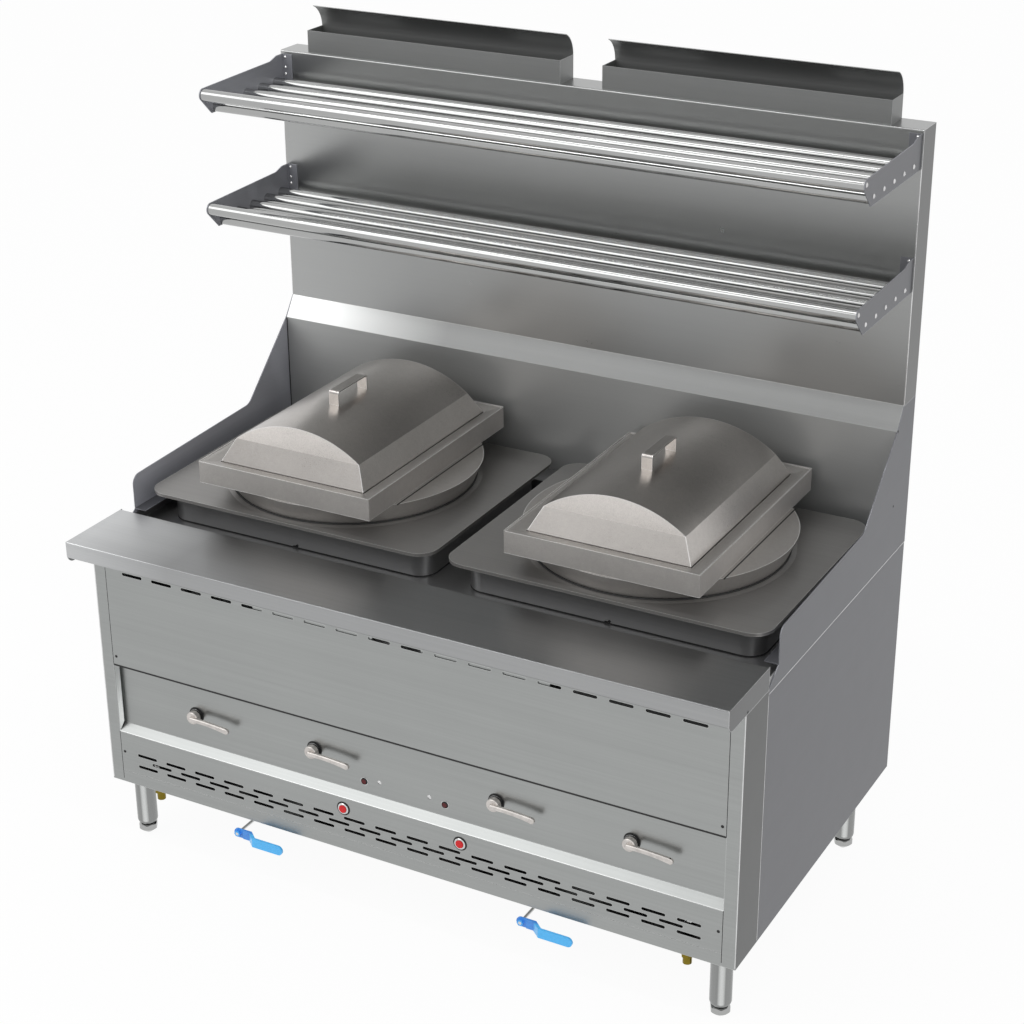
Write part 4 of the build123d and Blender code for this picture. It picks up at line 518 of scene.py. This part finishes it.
# Nodes with their own finish within their slot's, with painted light and shade; splash guards painted
# brighter inside.
OWN_FINISHES = {
    # Posts: sides painted darker, the left post's inner side painted lighter: painted light and shade
    "front_posts": sheet_metal(
        "post_sheet",
        STEEL,
        0.3,
        faces=[(RIGHTWARD, 0.21), (LEFTWARD, 0.5)],
        painted_glint=(RIGHTWARD, -0.7, -0.6, 2.4),
    ),
    # Control panel: sides of the recess painted lighter, as painted light
    "control_panel": sheet_metal("control_sheet", STEEL, 0.3, faces=[(RIGHTWARD, 2.6), (LEFTWARD, 2.6)]),
    # Splash guards: inner faces painted lighter, as painted light
    "splash_guard_left": side_metal("left_guard_sheet", faces=[(RIGHTWARD, 5.0)]),
    "splash_guard_right": side_metal("right_guard_sheet", faces=[(LEFTWARD, 5.0)]),
    # Legs: a painted highlight down the faces that look towards the front and right
    "legs": sheet_metal("leg_tube", LEG, 0.25, "along_z", edge=0.0, faces=[(LEG_PAINTED_HIGHLIGHT, 2.3)], relief=False),
    # Shelf plates: front faces and left ends painted lighter, as painted light
    "shelf_brackets": side_metal(
        "bracket_sheet",
        metallic=0.4,
        faces=[(FRONTWARD, 1.5)],
        fade=(-0.7, -0.6, 2.4),
    ),
}

for subpart in frame["record"]["subparts"]:
    finish = OWN_FINISHES.get(subpart["node"], FINISHES[subpart["material_slot"]])
    for holder in NODES[subpart["node"]].material_slots:
        holder.material = finish


def circle(centre, axis, radius, steps, height=0.0):
    """Corners on a circle round an axis, its radius and its height along the axis in millimetres."""
    turn = Vector(UPWARD).rotation_difference(Vector(axis))
    angles = [2 * math.pi * i / steps for i in range(steps)]
    arms = [Vector((radius * math.cos(angle), radius * math.sin(angle), height)) * MM for angle in angles]
    return [Vector(centre) + turn @ arm for arm in arms]


class Shape:
    """Corners and faces that grow into one mesh."""

    BEAD_SIDES = 8
    SHARP_ANGLE = 35.0

    def __init__(self):
        self.corners = []
        self.faces = []

    def skin(self, rings, closed=False):
        """Joins rings of corners, with a face at each end where the row of rings isn't closed."""
        first = len(self.corners)
        sides = len(rings[0])
        count = len(rings)
        for ring in rings:
            self.corners.extend(ring)
        for near in range(count if closed else count - 1):
            low = first + near * sides
            high = first + (near + 1) % count * sides
            for i in range(sides):
                j = (i + 1) % sides
                self.faces.append((low + i, low + j, high + j, high + i))
        if not closed:
            last = first + (count - 1) * sides
            self.faces.append(tuple(first + i for i in range(sides)))
            self.faces.append(tuple(last + i for i in range(sides)))

    def lathe(self, profile, centre, axis, steps=20):
        """Turns pairs of a radius and a height, in millimetres, round an axis."""
        self.skin([circle(centre, axis, radius, steps, height) for radius, height in profile])

    def bead(self, path, outward, width, height, closed=False):
        """An oval bead along a path on a surface, its lower half sunk in. Its section is in millimetres."""
        outward = Vector(outward)
        path = [Vector(place) for place in path]
        rings = []
        for i, place in enumerate(path):
            before = path[i - 1] if closed or i else place
            after = path[(i + 1) % len(path)] if closed or i < len(path) - 1 else place
            across = (after - before).cross(outward).normalized()
            ring = []
            for k in range(self.BEAD_SIDES):
                angle = 2 * math.pi * k / self.BEAD_SIDES
                swing = across * (width / 2 * math.cos(angle)) + outward * (height / 2 * math.sin(angle))
                ring.append(place + swing * MM)
            rings.append(ring)
        self.skin(rings, closed)

    def ring(self, centre, axis, radius, width, height, steps):
        """A bead in a circle round an axis, in millimetres."""
        self.bead(circle(centre, axis, radius, steps), axis, width, height, closed=True)

    def build(self, name, slot, body="range_body"):
        mesh = bpy.data.meshes.new(name)
        mesh.from_pydata([tuple(corner) for corner in self.corners], [], self.faces)
        mesh.validate()
        shell = bmesh.new()
        shell.from_mesh(mesh)
        bmesh.ops.recalc_face_normals(shell, faces=shell.faces)
        shell.to_mesh(mesh)
        shell.free()
        mesh.shade_smooth()
        mesh.set_sharp_from_angle(angle=math.radians(self.SHARP_ANGLE))
        mesh.materials.append(FINISHES[slot])
        piece = bpy.data.objects.new(name, mesh)
        bpy.context.scene.collection.objects.link(piece)
        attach(piece, body)
        return piece


FACE_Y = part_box("upper_front_panel")[0].y
BOTTOM_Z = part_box("base_frame")[0].z
SIDES = (-1, 1)
STATIONS = ("left", "right")
LEVERS = range(1, 5)


def spot(x, depth, height):
    """A place in millimetres: X, the depth behind the front face, the height over the cabinet's bottom."""
    return Vector((x * MM, FACE_Y + depth * MM, BOTTOM_Z + height * MM))


def middle(node):
    low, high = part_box(node)
    return (low + high) / 2


def rounded_rectangle(centre, half_x, half_y, radius, height, steps=6):
    """A level path with round corners, in the unit that its sizes have."""
    path = []
    corners = ((1, 1, 0), (-1, 1, 1), (-1, -1, 2), (1, -1, 3))
    for side_x, side_y, quarter in corners:
        pivot_x = centre.x + side_x * (half_x - radius)
        pivot_y = centre.y + side_y * (half_y - radius)
        for i in range(steps + 1):
            angle = math.pi / 2 * (quarter + i / steps)
            path.append((pivot_x + radius * math.cos(angle), pivot_y + radius * math.sin(angle), height))
    return path


# A domed head, in shares of its radius or of its height
WASHER = 0.15
DOME = 0.86
DOME_ROWS = 4
SOCKET_MOUTH = 0.3
SOCKET_FLOOR = 0.24
SOCKET_FLOOR_HEIGHT = 0.55


def dome_head(shape, centre, axis, radius, height):
    """A domed screw head on a thin washer, sunk a little into the sheet, with a socket in its top."""
    washer = WASHER * height
    profile = [(radius, -washer), (radius, washer)]
    for i in range(1, DOME_ROWS):
        angle = math.pi / 2 * i / DOME_ROWS
        rise = (height - washer) * math.sin(angle)
        profile.append((DOME * radius * math.cos(angle), washer + rise))
    profile.append((SOCKET_MOUTH * radius, height))
    profile.append((SOCKET_FLOOR * radius, SOCKET_FLOOR_HEIGHT * height))
    shape.lathe(profile, centre, axis)


# Shelf screws: places as depth and rise over the shelf plate's foot, heads as radius and height
SHELF_GAP = 256.0
SHELF_BOTTOM = (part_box("shelf_brackets")[0].z - BOTTOM_Z) / MM
PLATE_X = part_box("shelf_brackets")[1].x / MM
TUBE_FIRST = 533.0
TUBE_PITCH = 56.5
TUBE_COUNT = 5
TUBE_RISE = 17.0
NOSE_SCREW = (489.0, 50.0)
PLATE_SCREWS = [NOSE_SCREW] + [(TUBE_FIRST + i * TUBE_PITCH, TUBE_RISE) for i in range(TUBE_COUNT)]
PLATE_HEAD = (5.0, 2.8)
FLANGE_X = 749.0
FLANGE_DEPTH = 799.0
FLANGE_RISES = (28.0, 43.0, 66.0)
FLANGE_HEAD = (3.4, 2.4)


def add_shelf_screws():
    """Screw heads on the shelf plates, at the tubes' ends, and on their flanges against the backsplash."""
    heads = Shape()
    for bottom in (SHELF_BOTTOM, SHELF_BOTTOM + SHELF_GAP):
        for side in SIDES:
            for depth, rise in PLATE_SCREWS:
                dome_head(heads, spot(side * PLATE_X, depth, bottom + rise), (side, 0, 0), *PLATE_HEAD)
            for rise in FLANGE_RISES:
                centre = spot(side * FLANGE_X, FLANGE_DEPTH, bottom + rise)
                dome_head(heads, centre, FRONTWARD, *FLANGE_HEAD)
    heads.build("shelf_screw_heads", "bright_metal")


PANEL_SCREW_INSET = 4.5
PANEL_HEAD = (3.4, 1.6)
PANEL_SHANK = ((2.4, -6.0), (2.4, 0.0))


def add_panel_screws():
    """Blackened button heads that hold the front panels to the posts."""
    low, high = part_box("screws")
    inset = PANEL_SCREW_INSET * MM
    heads = Shape()
    for x in (low.x + inset, high.x - inset):
        for z in (low.z + inset, high.z - inset):
            dome_head(heads, (x, FACE_Y, z), FRONTWARD, *PANEL_HEAD)
            heads.lathe(PANEL_SHANK, (x, FACE_Y, z), FRONTWARD)
    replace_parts(heads.build("panel_screw_heads", "black_pipe"), "screws")


# Places on a side as depth and height, discs as pairs of radius and height
SIDE_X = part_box("backsplash")[1].x / MM
GUARD_SCREWS = ((771.0, 859.0), (775.0, 687.0))
GUARD_SCREW_DISC = ((3.2, -0.5), (2.6, 0.3))
POST_HOLE = (6.0, 579.0)
POST_HOLE_DISC = ((3.2, -0.5), (3.0, 0.2))


def add_side_details():
    """Flat screw heads and the posts' relief holes on the sides."""
    dots = Shape()
    for side in SIDES:
        for place in GUARD_SCREWS:
            dots.lathe(GUARD_SCREW_DISC, spot(side * SIDE_X, *place), (side, 0, 0))
        dots.lathe(POST_HOLE_DISC, spot(side * SIDE_X, *POST_HOLE), (side, 0, 0))
    dots.build("side_screw_heads", "black_pipe")


# Beads on the sides: depth and height of both ends, then width and height of the bead
SIDE_SEAMS = (
    (((108.0, 4.0), (108.0, 562.0)), 1.6, 0.6),
    (((110.0, 565.5), (868.0, 565.5)), 1.4, 0.5),
)
# Upright beads on the front edges of the posts and of the backsplash: depth and both heights, then the same
HEM_INSET = 1.2
FRONT_HEMS = (
    (0.2, (4.0, 573.0), 2.2, 1.2),
    (801.2, (908.0, 1488.0), 2.0, 1.0),
)


def add_seams():
    """Bright beads of weld and folded hems along the cabinet's edges."""
    beads = Shape()
    for side in SIDES:
        for ends, width, height in SIDE_SEAMS:
            beads.bead([spot(side * SIDE_X, *end) for end in ends], (side, 0, 0), width, height)
        hem_x = side * (SIDE_X - HEM_INSET)
        for depth, ends, width, height in FRONT_HEMS:
            beads.bead([spot(hem_x, depth, end) for end in ends], FRONTWARD, width, height)
    beads.build("seam_beads", "bright_metal")


PANEL_LOW = (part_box("upper_front_panel")[0].z - BOTTOM_Z) / MM
PANEL_HIGH = 574.0
PANEL_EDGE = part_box("upper_front_panel")[1].x / MM
PANEL_LIFT = 0.2
GRILLE_LOW = 8.0
GRILLE_HIGH = (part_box("grille_panel")[1].z - BOTTOM_Z) / MM
POST_GAP = 0.3
BACK_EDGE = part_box("back_panel")[1].x / MM
BACK_FACE = (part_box("back_panel")[0].y - FACE_Y) / MM
BACK_CORNER_INSET = 0.6
BACK_CORNER_HEIGHTS = (612.0, 856.0)
# Widths and heights of the black beads, which are painted shadow lines
PANEL_SHADOW_LINE = (4.4, 1.6)
POST_SHADOW_LINE = (1.6, 0.4)
BACK_SHADOW_LINE = (3.0, 2.0)


def add_panel_shadow_lines():
    """Black beads of painted shadow under the upper panel, between the panels and the posts, and in the back
    corners.
    """
    shadow_lines = Shape()
    ends = [spot(x, PANEL_LIFT, PANEL_LOW) for x in (-PANEL_EDGE, PANEL_EDGE)]
    shadow_lines.bead(ends, FRONTWARD, *PANEL_SHADOW_LINE)
    for side in SIDES:
        gap = side * (PANEL_EDGE + POST_GAP)
        for heights in ((PANEL_LOW, PANEL_HIGH), (GRILLE_LOW, GRILLE_HIGH)):
            shadow_lines.bead([spot(gap, 0, height) for height in heights], FRONTWARD, *POST_SHADOW_LINE)
        corner = side * (BACK_EDGE - BACK_CORNER_INSET)
        ends = [spot(corner, BACK_FACE, height) for height in BACK_CORNER_HEIGHTS]
        shadow_lines.bead(ends, FRONTWARD, *BACK_SHADOW_LINE)
    shadow_lines.build("panel_shadow_lines", "black_collar")


CONTROL_BOX_X = (57.0, 350.0)
CONTROL_BOX_HEIGHTS = (480.0, 560.0)
CONTROL_BOX_DEPTHS = (2.3, 90.0)
CONTROL_BOX_RADIUS = 3.0
CONTROL_BOX_BEVEL = 1.2
CONTROL_BOX_STEPS = 3


def add_control_boxes():
    """The two steel boxes that fill some of the upper panel's slots from behind."""
    half_x = (CONTROL_BOX_X[1] - CONTROL_BOX_X[0]) / 2
    half_z = (CONTROL_BOX_HEIGHTS[1] - CONTROL_BOX_HEIGHTS[0]) / 2
    near, far = CONTROL_BOX_DEPTHS
    bevel = CONTROL_BOX_BEVEL
    boxes = Shape()
    for side in SIDES:
        rings = []
        origin = Vector((side * sum(CONTROL_BOX_X) / 2, sum(CONTROL_BOX_HEIGHTS) / 2, 0))
        for depth, inset in ((near, bevel), (near + bevel, 0), (far, 0)):
            reach = (half_x - inset, half_z - inset, CONTROL_BOX_RADIUS - inset)
            outline = rounded_rectangle(origin, *reach, depth, CONTROL_BOX_STEPS)
            rings.append([spot(x, y, z) for x, z, y in outline])
        boxes.skin(rings)
    boxes.build("control_boxes", "front_sheet")


# Painted shadow lines, black beads: where they run, then the width and the height of each
GUTTER_SHEET = 2.0
CHAMBER_RADIUS = 40.0
CHAMBER_SHADOW_LINE_LIFT = 1.0
CHAMBER_SHADOW_LINE = (3.0, 3.6)
NOTCH_OFFSET = 5.0
NOTCH_HEIGHT = 583.0
NOTCH_DISC = ((4.2, -0.5), (3.8, 0.5))
NOTCH_SIDES = 4
PAN_SHADOW_LINE_RADIUS = 270.5
PAN_SHADOW_LINE = (5.0, 4.4)
PAN_SHADOW_LINE_STEPS = 96
PAN_LINE_OUTSET = 8.0
PAN_LINE_REACH = 185.0
PAN_LINE = (3.4, 1.8)


def add_chamber_shadow_line(shadow_lines, station):
    """The black bead at a chamber's foot, a painted shadow line, and a black disc for the notch in its front
    wall.
    """
    centre = middle(f"chamber_{station}")
    low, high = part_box(f"chamber_{station}")
    half = (high - low) / 2
    foot_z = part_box("gutter_tray")[0].z + (GUTTER_SHEET + CHAMBER_SHADOW_LINE_LIFT) * MM
    foot = rounded_rectangle(centre, half.x, half.y, CHAMBER_RADIUS * MM, foot_z)
    shadow_lines.bead(foot, UPWARD, *CHAMBER_SHADOW_LINE, closed=True)
    notch = spot(centre.x / MM + NOTCH_OFFSET, (low.y - FACE_Y) / MM, NOTCH_HEIGHT)
    shadow_lines.lathe(NOTCH_DISC, notch, FRONTWARD, NOTCH_SIDES)


def add_pan_shadow_lines(shadow_lines, station):
    """Painted shadow lines: a black bead round a pan on its deck, one on its rim at each side of its steam
    box.
    """
    centre = middle(f"water_pan_{station}")
    deck_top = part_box("deck_left")[1].z
    pan_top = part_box("water_pan_left")[1].z
    shadow_lines.ring((centre.x, centre.y, deck_top), UPWARD, PAN_SHADOW_LINE_RADIUS, *PAN_SHADOW_LINE, PAN_SHADOW_LINE_STEPS)
    low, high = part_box(f"steam_box_{station}")
    for x in (low.x - PAN_LINE_OUTSET * MM, high.x + PAN_LINE_OUTSET * MM):
        ends = [(x, centre.y + reach * MM, pan_top) for reach in (-PAN_LINE_REACH, PAN_LINE_REACH)]
        shadow_lines.bead(ends, UPWARD, *PAN_LINE)


def add_steam_shadow_lines():
    """Black beads of painted shadow at the foot of each chamber and pan, and beside each steam box."""
    shadow_lines = Shape()
    for station in STATIONS:
        add_chamber_shadow_line(shadow_lines, station)
        add_pan_shadow_lines(shadow_lines, station)
    shadow_lines.build("steam_shadow_lines", "black_collar")


# Rings on the front: radius, width, height and steps
LEVER_AXIS_INSET = 14.0
COLLAR_RING = (15.0, 0.8, 1.0, 40)
LEVER_GASKET = (16.6, 4.4, 2.4, 40)
LAMP_RADIUS = 6.0
LAMP_GASKET = (6.2, 3.0, 5.6, 32)
LAMP_BEZEL = (8.6, 1.6, 1.2, 32)
# The black ring round a button is a painted shadow of its bezel
BUTTON_SHADOW_RING = (14.6, 3.4, 1.8, 40)
CONTROL_FACE = 17.0
RING_LIFT = 0.2


def add_front_rings():
    """Bright rings on the lever collars and round the lamps, black ones behind collars and lamps, painted
    shadow round buttons.
    """
    bright = Shape()
    black = Shape()
    control_y = FACE_Y + (CONTROL_FACE - RING_LIFT) * MM
    for lever in LEVERS:
        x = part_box(f"lever_{lever}")[0].x + LEVER_AXIS_INSET * MM
        z = middle(f"lever_{lever}").z
        bright.ring((x, middle("lever_collars").y, z), BACKWARD, *COLLAR_RING)
        black.ring((x, control_y, z), BACKWARD, *LEVER_GASKET)
    low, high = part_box("indicator_lamps")
    for x in (low.x + LAMP_RADIUS * MM, high.x - LAMP_RADIUS * MM):
        centre = (x, control_y, middle("indicator_lamps").z)
        black.ring(centre, BACKWARD, *LAMP_GASKET)
        bright.ring(centre, BACKWARD, *LAMP_BEZEL)
    for station in STATIONS:
        centre = middle(f"button_{station}")
        black.ring((centre.x, FACE_Y - RING_LIFT * MM, centre.z), BACKWARD, *BUTTON_SHADOW_RING)
    bright.build("front_rings", "bright_metal")
    black.build("black_rings_and_button_shadows", "black_collar")


RIVET_X = 60.5
RIVET_HEIGHT = 181.0
RIVET_HEAD = (5.0, 2.4)


def add_rivets():
    """The two rivets between the lamps."""
    heads = Shape()
    for side in SIDES:
        dome_head(heads, spot(side * RIVET_X, CONTROL_FACE, RIVET_HEIGHT), FRONTWARD, *RIVET_HEAD)
    heads.build("panel_rivets", "bright_metal")


# The dot on a lever: how far from the tip, from the front and over the axis, then its disc
DOT_INSET = (6.6, 3.4, 1.6)
DOT_DISC = ((1.9, -0.6), (1.8, 0.2))
DOT_SIDES = 14


def add_lever_marks():
    """A drilled dot near each lever's tip."""
    from_tip, from_front, over_axis = DOT_INSET
    for lever in LEVERS:
        low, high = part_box(f"lever_{lever}")
        centre_z = middle(f"lever_{lever}").z
        mark = Shape()
        dot = Vector((high.x - from_tip * MM, low.y + from_front * MM, centre_z + over_axis * MM))
        mark.lathe(DOT_DISC, dot, UPWARD, DOT_SIDES)
        mark.build(f"lever_{lever}_mark", "black_collar", f"lever_{lever}")


add_shelf_screws()
add_panel_screws()
add_side_details()
add_seams()
add_panel_shadow_lines()
add_control_boxes()
add_steam_shadow_lines()
add_front_rings()
add_rivets()
add_lever_marks()


def set_world():
    """A pale world that is white where it is seen and softer where it only lights the range."""
    world = bpy.data.worlds.new("studio")
    world.use_nodes = True
    studio = NodeTree(world.node_tree)
    background = world.node_tree.nodes["Background"]
    studio.feed(background.inputs["Color"], WHITE)
    level = AMBIENT_LEVEL + studio.seen() * (BACKDROP_LEVEL - AMBIENT_LEVEL)
    studio.feed(background.inputs["Strength"], level)
    bpy.context.scene.world = world


def add_lamps():
    for name, (place, size, power) in LAMPS.items():
        lamp = bpy.data.lights.new(name, "AREA")
        lamp.shape = "RECTANGLE"
        lamp.size, lamp.size_y = size
        lamp.energy = power
        holder = bpy.data.objects.new(name, lamp)
        holder.location = place
        aim = Vector(LAMP_TARGET) - Vector(place)
        holder.rotation_euler = aim.to_track_quat("-Z", "Y").to_euler()
        bpy.context.scene.collection.objects.link(holder)


def floor_finish():
    """A pale matt floor that keeps shadows, nearly white where it is seen."""
    paint = Paint("floor_finish")
    paint.give(base_color=FLOOR_COLOUR, roughness=FLOOR_ROUGHNESS)
    matt = Value(paint, paint.shader.outputs["BSDF"])
    glow = paint.node("ShaderNodeEmission", {}, {"Color": WHITE, "Strength": BACKDROP_LEVEL})
    mix = paint.node("ShaderNodeMixShader", {}, {0: paint.seen() * FLOOR_GLOW, 1: matt, 2: glow})
    paint.feed(paint.tree.nodes["Material Output"].inputs["Surface"], mix)
    return paint.material


def add_floor():
    mesh = bpy.data.meshes.new("studio_floor")
    turns = ((-1, -1), (1, -1), (1, 1), (-1, 1))
    mesh.from_pydata([(x * FLOOR_REACH, y * FLOOR_REACH, 0) for x, y in turns], [], [(0, 1, 2, 3)])
    mesh.materials.append(floor_finish())
    floor = bpy.data.objects.new("studio_floor", mesh)
    bpy.context.scene.collection.objects.link(floor)


def place_camera():
    lens = bpy.data.cameras.new("camera")
    lens.lens = CAMERA_LENS
    lens.sensor_width = SENSOR
    lens.clip_end = CAMERA_REACH
    camera = bpy.data.objects.new("camera", lens)
    yaw = math.radians(CAMERA_YAW)
    pitch = math.radians(CAMERA_PITCH)
    ahead = Vector((-math.sin(yaw) * math.cos(pitch), math.cos(yaw) * math.cos(pitch), math.sin(pitch)))
    turn = ahead.to_track_quat("-Z", "Y").to_matrix().to_4x4()
    roll = Matrix.Rotation(math.radians(CAMERA_ROLL), 4, "Z")
    camera.matrix_world = Matrix.Translation(CAMERA_PLACE) @ turn @ roll
    bpy.context.scene.collection.objects.link(camera)
    bpy.context.scene.camera = camera


set_world()
add_lamps()
add_floor()
place_camera()
bpy.context.scene.view_settings.view_transform = "Standard"

bpy.context.view_layer.update()
